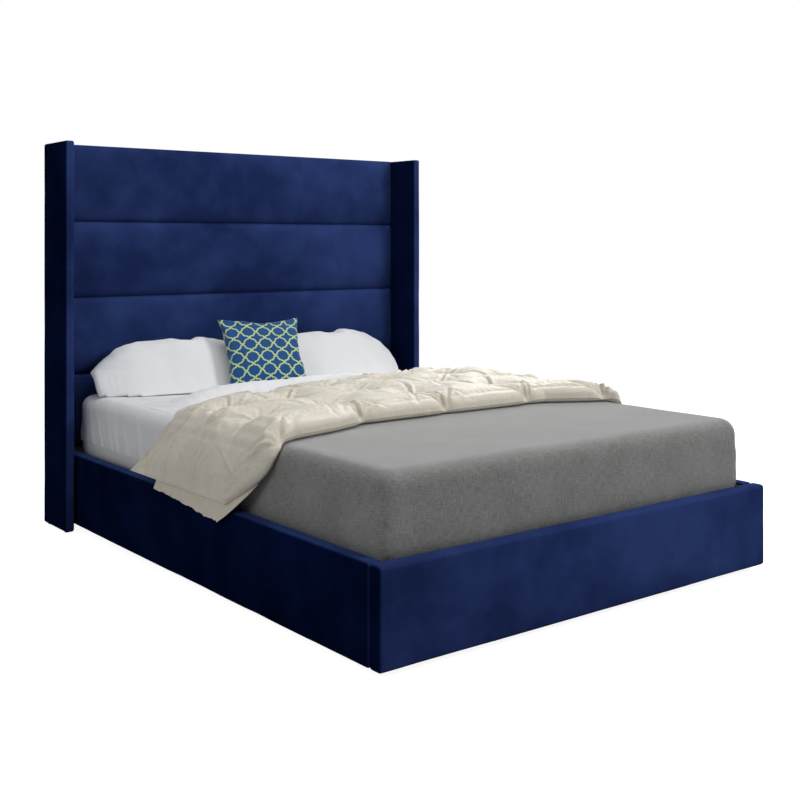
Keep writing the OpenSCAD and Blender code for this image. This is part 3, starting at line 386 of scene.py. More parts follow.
# The linen's upward faces are painted lighter as painted top light.
LINEN = woven(
    "grey_linen_weave", (0.098, 0.098, 0.094), (0.315, 0.316, 0.308), 0.0012, 0.028, 0.92, 0.0004,
    sheen=1.0, sheen_rough=0.24, painted_top_light=0.5,
).material
COTTON = cotton("white_cotton_weave", (0.80, 0.81, 0.825))
TICKING = cotton("white_ticking_knit", (0.78, 0.78, 0.77), 0.002)
SATIN = satin()
LATTICE = lattice()
PINE = {axis: wood(f"pine_{'xyz'[axis]}", (0.48, 0.31, 0.15), (0.70, 0.52, 0.31), axis) for axis in (1, 2)}
BEECH = wood("beech_x", (0.52, 0.33, 0.17), (0.74, 0.53, 0.33), 0, 0.006)
PLY = {axis: plywood(axis) for axis in (0, 1)}
BOARD = plastic("pale_hardboard", (0.66, 0.63, 0.57), 0.62)
WHITE_PLASTIC = plastic("white_plastic_trim", (0.8, 0.8, 0.79), 0.4)
BLACK_PLASTIC = plastic("black_plastic_moulded", (0.022, 0.022, 0.024), 0.45)
RUBBER = plastic("black_rubber", (0.018, 0.018, 0.018), 0.8)
BLACK_STEEL = metal("black_steel_powder", (0.022, 0.022, 0.025), 0.42, 0.0, 0.6, 0.15)
ZINC = metal("zinc_plated_steel", (0.60, 0.60, 0.57), 0.34, 1.0, 0.2)
CHROME = metal("bright_steel_rod", (0.72, 0.72, 0.73), 0.12, 1.0, 0.0)
WEBBING = woven(
    "black_webbing_weave", (0.008, 0.008, 0.009), (0.028, 0.028, 0.03), 0.0016, 0.006, 0.75, 0.0005
).material


def both(*names):
    return [f"{hand}_{name}" for hand in SIDES for name in names]


CAD_MATERIALS = {
    PLY[1]: ["headboard_panel", "foot_board", "head_board"],
    PLY[0]: both("wing_board", "rail_board"),
    PINE[2]: ["headboard_battens"],
    PINE[1]: ["base_battens"],
    BOARD: both("floor_panel"),
    WHITE_PLASTIC: ["floor_joiner"],
    BLACK_PLASTIC: ["glides", "slat_holders"],
    RUBBER: ["rubber_buffers"],
    ZINC: [
        "headboard_bolts", "corner_brackets", "bracket_bolts", "lift_plate_screws", "lift_plate_pins",
        "lift_bracket_pins",
    ],
    BLACK_STEEL: both("lift_plate", "rear_arm", "front_arm", "gas_cylinder", "lift_bracket")
    + [f"platform_{where}_tube" for where in ("left", "right", "head", "foot", "centre")],
    CHROME: both("gas_rod"),
    BEECH: both("slats"),
}
for material, names in CAD_MATERIALS.items():
    for name in names:
        mesh = nodes[name].data
        if not mesh.materials:
            mesh.materials.append(material)
        for i in range(len(mesh.materials)):
            mesh.materials[i] = material


# Mesh helpers


def box_of(node):
    """A CAD node's low and high corner as arrays."""
    return [np.array(corner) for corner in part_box(node)]


def fill_holes(made):
    bmesh.ops.holes_fill(made, edges=[e for e in made.edges if e.is_boundary], sides=0)


def written(made, mesh):
    """Turns a bmesh's normals outwards and writes it into a mesh."""
    bmesh.ops.recalc_face_normals(made, faces=made.faces)
    made.to_mesh(mesh)
    made.free()


def read(mesh):
    made = bmesh.new()
    made.from_mesh(mesh)
    return made


def closed(mesh):
    """Closes a mesh's open ends with faces."""
    made = read(mesh)
    fill_holes(made)
    written(made, mesh)


def stacked(*parts):
    return np.stack(parts, -1)


def joined(*parts):
    return np.concatenate(parts)


def bell(x):
    return np.exp(-(x**2))


def crossed(rows, columns):
    """Two grids with a row's number and a column's number at each point."""
    return np.meshgrid(rows, columns, indexing="ij")


def quads_of(index):
    """Faces through a grid of point numbers."""
    return stacked(index[:-1, :-1], index[1:, :-1], index[1:, 1:], index[:-1, 1:]).reshape(-1, 4)


def loop_points(mesh):
    """The number of each face corner's point."""
    corner = np.zeros(len(mesh.loops), np.int32)
    mesh.loops.foreach_get("vertex_index", corner)
    return corner


def points_of(mesh):
    co = np.zeros(len(mesh.vertices) * 3)
    mesh.vertices.foreach_get("co", co)
    return co.reshape(-1, 3)


def spread(mesh, uv):
    """Gives a mesh flat cloth coordinates, one for each point."""
    layer = mesh.uv_layers.new(name="cloth")
    layer.data.foreach_set("uv", uv[loop_points(mesh)].ravel())


def noise(points, size, seed):
    """Smooth noise from -1 to 1 at each point, with features of the given size."""
    at = np.asarray(points, float) / size
    cell = np.floor(at).astype(np.int64)
    part = at - cell
    part = part * part * (3 - 2 * part)
    total = np.zeros(at.shape[:-1])
    for corner in itertools.product((0, 1), repeat=3):
        c = cell + np.array(corner)
        mixed = (c[..., 0] * 73856093) ^ (c[..., 1] * 19349663) ^ (c[..., 2] * 83492791) ^ (seed * 7919)
        mixed = (mixed ^ (mixed >> 13)) * 1274126177 & 0x7FFFFFFF
        mixed = (mixed ^ (mixed >> 15)) & 0xFFFFF
        weight = np.prod(np.where(np.array(corner) == 1, part, 1 - part), axis=-1)
        total += weight * (mixed / 0x7FFFF - 1)
    return total


def ease(x, low, high):
    """0 to 1 between two limits, with no slope at either."""
    t = np.clip((x - low) / (high - low), 0, 1)
    return t * t * (3 - 2 * t)


def place(name, mesh, material, body, slot, *replaced):
    """Links a finished mesh as a piece that rides on a body and stands for CAD nodes."""
    mesh.materials.clear()
    mesh.materials.append(material)
    mesh.polygons.foreach_set("use_smooth", [True] * len(mesh.polygons))
    piece = new_object(name, mesh)
    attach(piece, body)
    if replaced:
        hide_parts(*replaced)
    return piece


def place_padded(fill, *placed):
    place(*placed)


def upholster(name, mesh, node, fill):
    place_padded(fill, name, mesh, VELVET, "bed_base", "navy_velvet", node)


def grid_mesh(name, grid, uv=None, close_rows=False, flip=False):
    """Quads through a grid of points of shape (rows, columns, 3)."""
    rows, columns = grid.shape[:2]
    index = np.arange(rows * columns).reshape(rows, columns)
    if close_rows:
        index = np.vstack([index, index[:1]])
    quads = quads_of(index)
    if flip:
        quads = quads[:, ::-1]
    mesh = new_mesh(name, grid.reshape(-1, 3), quads)
    if uv is not None:
        spread(mesh, uv.reshape(-1, 2))
    return mesh


def stations(low, high, radius, step):
    """Stops along one side of a rounded box, close together inside its roundings."""
    edge = [low + radius * f for f in (0, 0.25, 0.5, 0.75, 1)]
    count = max(1, round((high - low - 2 * radius) / step))
    middle = np.linspace(low + radius, high - radius, count + 1)[1:-1]
    return np.array(edge + middle.tolist() + [low + high - e for e in reversed(edge)])


def rounded_box(name, low, high, radius, step, displace=None, keep=None):
    """Closed box with rounded edges. displace(points, normals) gives each point's way out along its
    normal, and keep(centres, normals) says which faces stay."""
    low, high = np.array(low, float), np.array(high, float)
    radius = min(radius, *(0.499 * (high - low)))
    stops = [stations(low[i], high[i], radius, step) for i in range(3)]
    points, faces, base = [], [], 0
    for axis in range(3):
        u, v = (axis + 1) % 3, (axis + 2) % 3
        for end, value in ((0, low[axis]), (1, high[axis])):
            a, b = crossed(stops[u], stops[v])
            sheet = np.zeros(a.shape + (3,))
            sheet[..., u], sheet[..., v], sheet[..., axis] = a, b, value
            quads = quads_of(base + np.arange(a.size).reshape(a.shape))
            faces.append(quads if end else quads[:, ::-1])
            points.append(sheet.reshape(-1, 3))
            base += a.size
    points, faces = joined(*points), joined(*faces)
    inner = np.clip(points, low + radius, high - radius)
    out = points - inner
    out /= np.linalg.norm(out, axis=1, keepdims=True)
    placed = inner + radius * out
    keys = np.round(placed * MICRONS).astype(np.int64)
    _, first, inverse = np.unique(keys, axis=0, return_index=True, return_inverse=True)
    placed, out, faces = placed[first], out[first], inverse.ravel()[faces]
    if keep is not None:
        faces = faces[keep(placed[faces].mean(1), out[faces].mean(1))]
        used, back = np.unique(faces, return_inverse=True)
        placed, out, faces = placed[used], out[used], back.reshape(faces.shape)
    if displace is not None:
        placed = placed + displace(placed, out)[:, None] * out
    mesh = new_mesh(name, placed, faces)
    unroll(mesh)
    return mesh


def unroll(mesh):
    """Flat cloth coordinates in metres, laid along each face's own plane."""
    layer = mesh.uv_layers.new(name="cloth")
    count = len(mesh.polygons)
    normal = np.zeros(count * 3)
    mesh.polygons.foreach_get("normal", normal)
    axis = np.abs(normal.reshape(-1, 3)).argmax(1)
    total = np.zeros(count, np.int32)
    mesh.polygons.foreach_get("loop_total", total)
    axis = np.repeat(axis, total)
    co = points_of(mesh)[loop_points(mesh)]
    u = np.where(axis == 0, co[:, 2], co[:, 0])
    v = np.where(axis == 1, co[:, 2], co[:, 1])
    layer.data.foreach_set("uv", stacked(u, v).ravel())


def cut_out(mesh, low, high):
    """Takes a box out of a closed mesh."""
    body = new_object("cut_body", mesh)
    tool_mesh = bpy.data.meshes.new("cut_tool")
    tool = bmesh.new()
    bmesh.ops.create_cube(tool, size=1)
    for vertex in tool.verts:
        vertex.co = [l + (c + 0.5) * (h - l) for c, l, h in zip(vertex.co, low, high)]
    tool.to_mesh(tool_mesh)
    tool.free()
    cutter = new_object("cut_tool", tool_mesh)
    modifier = body.modifiers.new("cut", "BOOLEAN")
    modifier.object = cutter
    modifier.operation = "DIFFERENCE"
    modifier.solver = "EXACT"
    bpy.context.view_layer.update()
    result = bpy.data.meshes.new_from_object(body.evaluated_get(bpy.context.evaluated_depsgraph_get()))
    bpy.data.objects.remove(body)
    bpy.data.objects.remove(cutter)
    return result


# Headboard


def pile_waves(points, seed):
    """Soft unevenness of padding under velvet."""
    return 0.0011 * noise(points, 0.16, seed) + 0.0004 * noise(points, 0.045, seed + 1)


CHANNEL_CROWN = 0.020
CHANNEL_FULLNESS = 2.0
SEAM_SLIT = 0.012
CHANNEL_END = 0.075


def headboard_channel(i):
    node = f"headboard_channel_{i}"
    low, high = box_of(node)
    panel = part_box("headboard_panel")[0].y
    seam = low[1] + CHANNEL_CROWN
    columns = joined(
        low[0] + 0.1 * np.linspace(0, 1, 26)[:-1] ** 1.4,
        np.linspace(low[0] + 0.1, high[0] - 0.1, 150),
        high[0] - 0.1 * np.linspace(1, 0, 26)[1:] ** 1.4,
    )
    across = 44
    t, x = crossed((1 - np.cos(np.pi * np.linspace(0, 1, across))) / 2, columns)
    z = low[2] + t * (high[2] - low[2])
    end = np.minimum(x - low[0], high[0] - x)
    rounded = np.sqrt(1 - (1 - np.clip(end / CHANNEL_END, 0, 1)) ** 2.4)
    shape = (1 - np.abs(2 * t - 1) ** CHANNEL_FULLNESS) ** 0.62
    at = stacked(x, 0 * x, z)
    seam_gap = np.minimum(z - low[2], high[2] - z)
    pucker = 0.0012 * np.exp(-seam_gap / 0.022) * noise(at * [1, 1, 0.3], 0.022, 40 + i)
    lean = 1 + 0.05 * noise(at, 0.5, 50 + i)
    out = CHANNEL_CROWN * shape * (0.05 + 0.95 * rounded) * np.minimum(lean, 1)
    front = seam - out + pucker * shape ** 0.2 + np.minimum(0, pile_waves(at, 60 + i) * shape)
    front = np.maximum(front, low[1]) + SEAM_SLIT * np.exp(-seam_gap / 0.0045) * (1 - (i == 1) * (t > 0.5))
    grid = stacked(x, front, z)
    back = stacked(x[[-1, 0]], np.full_like(x[:2], panel), z[[-1, 0]])
    if i == 1:
        wrap = 0.012
        turn = [(high[1], high[2]), (high[1], high[2] - wrap), (panel, high[2] - wrap), (panel, low[2])]
        back = np.stack([stacked(x[0], np.full_like(x[0], y), np.full_like(x[0], zz)) for y, zz in turn])
    mesh = grid_mesh(node, joined(grid, back), close_rows=True)
    closed(mesh)
    upholster(f"channel_{i}_velvet", mesh, node, 0.75)


for i in range(1, 5):
    headboard_channel(i)


def wing(hand):
    node = f"{hand}_wing_cover"
    low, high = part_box(node)

    def pad(points, normals):
        middle = np.ones(len(points))
        for axis, gap in ((1, 0.03), (2, 0.04)):
            near = np.minimum(points[:, axis] - low[axis], high[axis] - points[:, axis])
            middle *= ease(near, 0, gap)
        flat = np.abs(normals[:, 0]) > 0.9
        return np.where(flat, 0.0006 * (middle - 1), 0) + np.minimum(0, pile_waves(points, 70))

    mesh = rounded_box(f"{hand}_wing", low, high, 0.009, 0.03, pad)
    upholster(f"{hand}_wing_velvet", mesh, node, 0.7)


def rail(hand):
    node = f"{hand}_rail_cover"
    low, high = box_of(node)

    def pad(points, normals):
        near = np.minimum(points[:, 1] - low[1], high[1] - points[:, 1])
        tuck = -0.002 * np.exp(-near / 0.004)
        return tuck + np.minimum(0, pile_waves(points, 80) - 0.0002)

    mesh = rounded_box(f"{hand}_rail", low, high, 0.010, 0.02, pad)
    board = box_of(f"{hand}_rail_board")
    on_right = hand == "right"
    inwards = 0.01 * on_right, 0.01 * (not on_right)
    mesh = cut_out(mesh, board[0] - [inwards[0], 0.02, 0], board[1] + [inwards[1], 0.02, 0])
    upholster(f"{hand}_rail_velvet", mesh, node, 0.7)


def foot():
    low, high = box_of("foot_cover")

    def pad(points, normals):
        near = high[1] - points[:, 1]
        tuck = -0.002 * np.exp(-near / 0.004) * (np.abs(normals[:, 0]) > 0.5)
        return tuck + np.minimum(0, pile_waves(points, 90) - 0.0002)

    mesh = rounded_box("foot", low, high, 0.012, 0.02, pad)
    board = box_of("foot_board")
    mesh = cut_out(mesh, board[0], board[1] + [0, 0.02, 0])
    upholster("foot_velvet", mesh, "foot_cover", 0.7)


BACK_LAP = np.array([0.005, 0, 0])  # covers the groove beside each wing's rounded corner


def back_cover():
    low, high = box_of("headboard_back_cover")
    low, high = low - BACK_LAP, high + BACK_LAP
    mesh = rounded_box(
        "back", low, high, 0.0014, 0.03, lambda p, n: np.minimum(0, 0.0006 * noise(p, 0.2, 95))
    )
    upholster("back_velvet", mesh, "headboard_back_cover", 0.2)


for hand in SIDES:
    wing(hand)
    rail(hand)
foot()
back_cover()


# Bedding

mattress_low, mattress_high = box_of("mattress")
EDGE_R = 0.048
SHEET_T = 0.0015
BLANKET_T = 0.004


def mattress():
    def pad(points, normals):
        side = np.abs(normals[:, 2]) < 0.3
        ribs = 0.001 * np.cos(2 * np.pi * points[:, 2] / 0.03)
        return np.where(side, ribs - 0.001, 0) + np.minimum(0, 0.002 * noise(points, 0.15, 3))

    mesh = rounded_box("mattress_pad", mattress_low, mattress_high, EDGE_R, 0.02, pad)
    place_padded(0.9, "mattress_ticking", mesh, TICKING, "platform", "white_ticking", "mattress")


def fitted_sheet():
    node_low, node_high = box_of("fitted_sheet")
    blanket_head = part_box("blanket")[1].y
    low, high = np.array([*node_low[:2], mattress_low[2]]), node_high

    def folds(points, normals):
        side = ease(-normals[:, 0], 0.3, 0.95)
        drop = ease(high[2] - points[:, 2], 0.0, 0.09)
        slant = points[:, [1]] * [0, 1, 0] + (high[2] - points[:, [2]]) * [0, 0.35, 0.12]
        wave = 0.2 + noise(slant, 0.034, 11) + 0.7 * noise(slant, 0.017, 12)
        bare = ease(points[:, 1], blanket_head + 0.01, blanket_head + 0.06)
        hung = np.maximum(0, wave) * 0.0062 * side * drop * bare
        soft = (0.0012 * noise(points, 0.09, 13) + 0.0008 * noise(points, 0.03, 14)) * bare
        return hung + soft + 0.0002

    mesh = rounded_box(
        "fitted", low, high, EDGE_R + SHEET_T, 0.0075, folds, keep=lambda c, n: c[:, 2] > node_low[2]
    )
    piece = place("fitted_sheet_cotton", mesh, COTTON, "platform", "white_cotton", "fitted_sheet")


def blanket():
    node_low, node_high = box_of("blanket")
    low = np.array([*node_low[:2], mattress_low[2] - 0.01])
    high = np.array([node_high[0], mattress_high[1], node_high[2]])

    def folds(points, normals):
        drop = ease(high[2] - points[:, 2], 0.03, 0.2)
        side = ease(np.abs(normals[:, 0]), 0.4, 0.95)
        hung = 0.0025 * drop * side * np.maximum(0, noise(points * [1, 1, 0.15], 0.07, 21))
        down = ease(high[2] - points[:, 2], 0.075, 0.12)
        wavy = 0.004 * noise(points * [0, 0, 1], 0.03, 23)
        front = ease(-normals[:, 1], 0.05, 0.4) + (np.abs(normals[:, 0]) > 0.5)
        near = np.exp(-np.maximum(0, points[:, 1] - low[1]) / 0.09)
        fold = 0
        for sign in (LEFT, RIGHT):
            edge_x = sign * high[0] - sign * 0.022
            past = (points[:, 0] - edge_x) * sign + wavy
            fold = fold + 0.0045 * ease(past, -0.001, 0.001) * down * near * np.minimum(1, front)
        return hung + fold + 0.0008 * noise(points, 0.12, 22) - 0.0004

    mesh = rounded_box(
        "blanket_cloth", low, high, EDGE_R + SHEET_T + BLANKET_T, 0.012, folds,
        keep=lambda c, n: (c[:, 2] > node_low[2]) & (c[:, 1] < node_high[1]),
    )
    piece = place("blanket_linen", mesh, LINEN, "platform", "grey_linen", "blanket")


mattress()
fitted_sheet()
blanket()

# The duvet's outline: share of its width from the right edge, then how far its foot and head edges lie
# from the mattress's head, in millimetres
DUVET_EDGES = np.array([
    (0, 1475, 455), (0.14, 1332, 455), (0.32, 1330, 500), (0.41, 1330, 545), (0.47, 1331, 552),
    (0.6, 1334, 600), (0.71, 1405, 615), (0.81, 1450, 740), (0.85, 1500, 815), (0.89, 1470, 775),
    (0.94, 1393, 690), (1, 1280, 570),
])
DUVET_RIGHT_X = mattress_high[0] - 0.018
DUVET_LEFT_X = mattress_low[0] + EDGE_R
DUVET_BEND_R = EDGE_R + SHEET_T + BLANKET_T + 0.0012
DUVET_BEND = math.radians(71)
DUVET_Z = mattress_high[2] - EDGE_R + DUVET_BEND_R
DUVET_FLAT = DUVET_RIGHT_X - DUVET_LEFT_X
DUVET_HANG = 0.235
DUVET_W = DUVET_FLAT + DUVET_BEND_R * DUVET_BEND + DUVET_HANG


def duvet_edge(d, which):
    """y of the duvet's foot (1) or head (2) edge at a distance from its right edge."""
    return mattress_high[1] - MM * np.interp(d / DUVET_W, DUVET_EDGES[:, 0], DUVET_EDGES[:, which])


def duvet_frame(d):
    """x, z, turn and way out of what the duvet lies on at a distance from its right edge."""
    turn = np.clip((d - DUVET_FLAT) / DUVET_BEND_R, 0, DUVET_BEND)
    hang = np.maximum(0, d - DUVET_FLAT - DUVET_BEND_R * DUVET_BEND)
    x = DUVET_RIGHT_X - np.minimum(d, DUVET_FLAT) - DUVET_BEND_R * np.sin(turn) - hang * np.cos(turn)
    z = DUVET_Z - DUVET_BEND_R * (1 - np.cos(turn)) - hang * np.sin(turn)
    return x, z, turn, stacked(-np.sin(turn), 0 * d, np.cos(turn))


# Sewn tufts, as distances from the duvet's right edge and from the mattress's head, then places where
# its foot (1) and head (2) rims are pinched
TUFTS = [
    (0.045, 1.157), (0.335, 1.145), (0.726, 1.150), (1.115, 1.187), (1.400, 1.237), (0.103, 0.967),
    (0.441, 0.952), (0.834, 0.956), (1.142, 0.977), (1.395, 1.007), (0.232, 0.762), (0.580, 0.755),
    (0.864, 0.752), (1.106, 0.772), (0.352, 0.592), (0.640, 0.600), (0.060, 0.577),
]
RIM_TUFTS = [
    (0.039, 1), (0.320, 1), (0.707, 1), (1.075, 1), (1.464, 1), (0.22, 2), (0.50, 2), (0.76, 2), (0.98, 2),
]
# Places where its hanging end is drawn together, the way their folds run and their depth
END_TUFTS = [
    ((1.672, -0.12), math.pi, 0.012), ((1.672, 0.07), math.pi, 0.011), ((1.672, 0.24), math.pi, 0.009),
    ((1.600, -0.385), 2.2, 0.012),
]
DUVET_PRESSURE = 5.0
DUVET_STEP = 0.0122
DUVET_ROWS = 80
DUVET_SPARE = 1.07
DUVET_SEAM = 0.015
DUVET_LOFT = 0.078
DUVET_OVERHANG = 0.020
DUVET_HEAD_SHARE = (0.74, 0.42)
RIM_INSET = 0.014
RIM_BULGE = 0.004
DUVET_ROLL = 0.036
DUVET_UNDER_ROLL = 0.026
TUFT_LIFT = 0.016
TUFT_PIN_R = 0.013
HEM_DEPTH = 0.061
HEM_UNDER = 0.085  # how far the hem runs up under the duvet
HEM_T = 0.0012
HEM_END_Y = 0.166

SETTLE_FRAMES = 26
SHEAR = 5.0
DAMPING = 12


def settle(mesh, rest, pinned, pressure, tension=20.0, bending=0.5):
    """Runs cloth on a mesh whose cloth was cut to the rest points, with some points pinned, and returns
    the points where it comes to rest."""
    piece = new_object("cloth_run", mesh)
    piece.shape_key_add(name="placed")
    key = piece.shape_key_add(name="cut")
    key.data.foreach_set("co", np.asarray(rest, float).ravel())
    group = piece.vertex_groups.new(name="pin")
    cloth = piece.modifiers.new("cloth", "CLOTH")
    settings = cloth.settings
    for name, value in {
        "rest_shape_key": key, "quality": 6, "mass": 0.25,
        "tension_stiffness": tension, "compression_stiffness": tension,
        "shear_stiffness": SHEAR, "bending_stiffness": bending,
        "tension_damping": DAMPING, "compression_damping": DAMPING, "shear_damping": DAMPING,
        "bending_damping": 1.5, "air_damping": 4, "use_pressure": True, "uniform_pressure_force": pressure,
    }.items():
        setattr(settings, name, value)
    settings.effector_weights.gravity = 0
    if len(pinned):
        group.add([int(i) for i in pinned], 1, "REPLACE")
        settings.vertex_group_mass = "pin"
    cloth.point_cache.frame_start = 1
    cloth.point_cache.frame_end = SETTLE_FRAMES
    cloth.collision_settings.use_collision = False
    scene = bpy.context.scene
    for f in range(1, SETTLE_FRAMES + 1):
        scene.frame_set(f)
    done = bpy.data.meshes.new_from_object(piece.evaluated_get(bpy.context.evaluated_depsgraph_get()))
    settled = points_of(done)
    bpy.data.meshes.remove(done)
    bpy.data.objects.remove(piece)
    scene.frame_set(1)
    return settled


def halved(grid, axis):
    """Puts one point between each two along an axis of a grid, on a smooth curve."""
    grid = np.moveaxis(grid, axis, 0)
    inner = joined(2 * grid[:1] - grid[1:2], grid, 2 * grid[-1:] - grid[-2:-1])
    middle = (9 * (inner[1:-2] + inner[2:-1]) - inner[:-3] - inner[3:]) / 16
    out = np.zeros((2 * len(grid) - 1,) + grid.shape[1:])
    out[::2], out[1::2] = grid, middle
    return np.moveaxis(out, 0, axis)


def finer(grid):
    return halved(halved(grid, 0), 1)


def grid_normals(grid):
    normal = np.cross(np.gradient(grid, axis=1), np.gradient(grid, axis=0))
    return normal / np.linalg.norm(normal, axis=-1, keepdims=True)


def gathers(d, y, at, seed, arms, reach, fine_size=0.0012):
    """Folds that run out from a gathered point: a few sharp creases with a lip beside each, and finer
    ones between them."""
    rd, ry = d - at[0], y - at[1]
    r = np.hypot(rd, ry) + 1e-6
    angle = np.arctan2(ry, rd)
    total = 0 * d
    for k, (turn, size) in enumerate(arms):
        bend = 0.25 * math.sin(seed * 1.7 + k * 2.1)
        off = np.angle(np.exp(1j * (angle - turn - bend * r / reach)))
        side = r * np.sin(np.clip(off, -1.5, 1.5))
        width = 0.0042 + 0.032 * r
        here = np.abs(off) < 1.2
        lip = 0.55 * bell((side - 2 * width) / width)
        total -= here * size * (np.exp(-np.abs(side / width) ** 1.5) - lip)
    fine = 0.0
    for n, phase in ((9, 0.3), (14, 1.9)):
        fine = fine + np.sin(angle * n + phase + seed) * (0.5 + 0.5 * np.sin(angle * 2 + seed * 2.3))
    envelope = (r / (r + 0.010)) * np.exp(-(r / reach) ** 1.5)
    return total * envelope + fine_size * fine * (r / (r + 0.006)) * bell(r / (0.45 * reach))


def rolled(edge, run):
    """Height of a quarter round, 0 to 1, at a distance from the edge where it starts."""
    return np.sqrt(np.clip(1 - (1 - np.clip(edge / run, 0, 1)) ** 2, 0, 1))


def duvet():
    end = DUVET_W - HEM_DEPTH
    columns = round(end / DUVET_STEP)
    t = np.linspace(0, 1, DUVET_ROWS)
    d, v = crossed(np.linspace(-DUVET_OVERHANG, end, columns), t - 0.10 * np.sin(2 * np.pi * t))
    foot, head = duvet_edge(d, 1) + RIM_INSET, duvet_edge(d, 2) - RIM_INSET
    foot = foot + 0.050 * ease(d, end - 0.12, end) ** 1.5
    for at, which in RIM_TUFTS:
        pinch = 0.020 * bell((d - at) / 0.026)
        if which == 1:
            foot = foot + pinch - RIM_BULGE
        else:
            head = head - pinch + RIM_BULGE
    y = foot + v * (head - foot)
    edge = np.minimum.reduce([d + DUVET_OVERHANG, end - d, y - foot, head - y])
    rim_pull = 0 * d
    for at, which in RIM_TUFTS:
        along = bell((d - at) / 0.022)
        rim_pull = np.maximum(rim_pull, along * ((y - foot < 0.3) if which == 1 else (head - y < 0.3)))
    seam = DUVET_SEAM * (1 - 0.6 * rim_pull)
    tufts = [(td, mattress_high[1] - ty) for td, ty in TUFTS]
    lift = np.full(d.shape, 0.052)
    low = np.zeros(d.shape, bool)
    for td, ty in tufts:
        r = np.hypot(d - td, y - ty)
        low |= r < TUFT_PIN_R
        lift = np.minimum(lift, TUFT_LIFT + 0.35 * r)
    x, z, turn, out = duvet_frame(d)
    over = np.maximum(0, x - (mattress_high[0] - EDGE_R))
    base = stacked(x, y, z - DUVET_BEND_R + np.sqrt(np.maximum(DUVET_BEND_R**2 - over**2, 0)))
    under = base + out * (seam * (1 - rolled(edge, DUVET_UNDER_ROLL)) + 0.0008)[..., None]
    upper = base + out * (seam + (lift - seam) * ease(edge, -0.004, 0.045) + 0.0008)[..., None]
    rim = edge < 1e-6
    rest = DUVET_SPARE * stacked(d, y, 0 * d).reshape(-1, 3)
    mesh = grid_mesh("duvet_run", upper, flip=True)
    pinned = np.flatnonzero((rim | low).ravel())
    upper = settle(mesh, rest, pinned, DUVET_PRESSURE).reshape(upper.shape)
    height = ((upper - base) * out).sum(-1)
    headwards = ease(y, head - 0.30, head)
    first, last = DUVET_HEAD_SHARE
    share = first + (last - first) * ease(d, 0.75, 1.15)
    most = DUVET_LOFT * (1 - 0.28 * turn / DUVET_BEND) * (1 - (1 - share) * headwards)
    part = height / np.percentile(height, 96)
    capped = np.maximum(most * np.where(part > 0.9, 0.9 + 0.2 * np.tanh((part - 0.9) / 0.2), part), 0.002)
    roll = seam + (0.72 * most - seam) * rolled(edge, DUVET_ROLL) * (1 - 0.6 * rim_pull)
    near = 1 - ease(edge, 0.6 * DUVET_ROLL, 1.8 * DUVET_ROLL)
    capped = capped + near * np.maximum(0, roll - capped)
    upper = upper + out * (capped - height)[..., None] * (~rim)[..., None]
    upper, under, d, y, edge = (finer(finer(g)) for g in (upper, under, d, y, edge))
    crease = 0 * d
    for k, (td, ty) in enumerate(tufts):
        spin = 0.2 * math.sin(k * 5.3)
        arms = [
            (0.72 + spin, 0.019), (2.45 + spin, 0.016), (-2.42 + spin, 0.019), (-0.75 + spin, 0.016),
            (-1.57 + spin, 0.010),
        ]
        if td > 1.3:
            arms = [(a, 0.5 * size) for a, size in arms]
        crease += gathers(d, y, (td, ty), k, arms, 0.135)
    for k, (at, which) in enumerate(RIM_TUFTS):
        edge_y = duvet_edge(at, which)
        up = math.pi / 2 if which == 1 else -math.pi / 2
        arms = [(up - 0.75, 0.014), (up - 0.3, 0.010), (up + 0.25, 0.013), (up + 0.8, 0.013)]
        crease += gathers(d, y, (at, edge_y), 20 + k, arms, 0.10, 0.0026)
    for k, (at, turn_to, size) in enumerate(END_TUFTS):
        arms = [(turn_to - 0.55, 0.7 * size), (turn_to - 0.1, size), (turn_to + 0.4, 0.8 * size)]
        crease += gathers(d, y, at, 40 + k, arms, 0.12)
    hang = ease(d, DUVET_FLAT - 0.02, DUVET_FLAT + 0.12)
    at = stacked(d, y, 0 * d)
    drawn = at * [0.3, 1, 1]
    crease += hang * (0.0065 * noise(drawn, 0.085, 61) + 0.0028 * noise(drawn, 0.035, 63))
    crease += 0.0022 * (1 - hang) * noise(at, 0.06, 62)
    upper = upper + grid_normals(upper) * (crease * ease(edge, 0.0, 0.02))[..., None]
    uv = stacked(d, y)
    mesh = grid_mesh("duvet_top", upper, uv, flip=True)
    made = read(mesh)
    made.from_mesh(grid_mesh("duvet_under", under, uv))
    bmesh.ops.remove_doubles(made, verts=[w for w in made.verts if w.is_boundary], dist=0.00005)
    written(made, mesh)
    place_padded(0.6, "duvet_satin", mesh, SATIN, "platform", "cream_satin", "duvet")


def duvet_hem():
    """Thin frilled flounce that shows below the duvet's hanging edge."""
    start, end = DUVET_W - HEM_DEPTH - HEM_UNDER, DUVET_W
    rows, columns = 26, 240
    d, t = crossed(np.linspace(start, end, rows), np.linspace(0, 1, columns))
    foot = duvet_edge(d, 1) + 0.003
    y = foot + t * (HEM_END_Y - foot)
    down = (d - start) / (end - start)
    line = stacked(y, 0 * y, 0 * y)
    frill = 0.0016 * noise(line, 0.0042, 71) + 0.003 * noise(line, 0.03, 72)
    d = d + down**4 * (frill - 0.005 - 0.027 * (y + 0.292) / 0.44)
    x, z, _, out = duvet_frame(d)
    rise = 0.004 + 0.006 * down + down * 0.0035 * noise(stacked(y, d * 0.3, 0 * y), 0.028, 73)
    at = stacked(x, y, z) + rise[..., None] * out
    loop = joined(at, (at - HEM_T * out)[::-1])
    uv = stacked(joined(d, d[::-1]), joined(y, y))
    mesh = grid_mesh("duvet_hem", loop, uv, close_rows=True)
    closed(mesh)
    piece = place("duvet_hem_satin", mesh, SATIN, "platform", "cream_satin")


duvet()
duvet_hem()


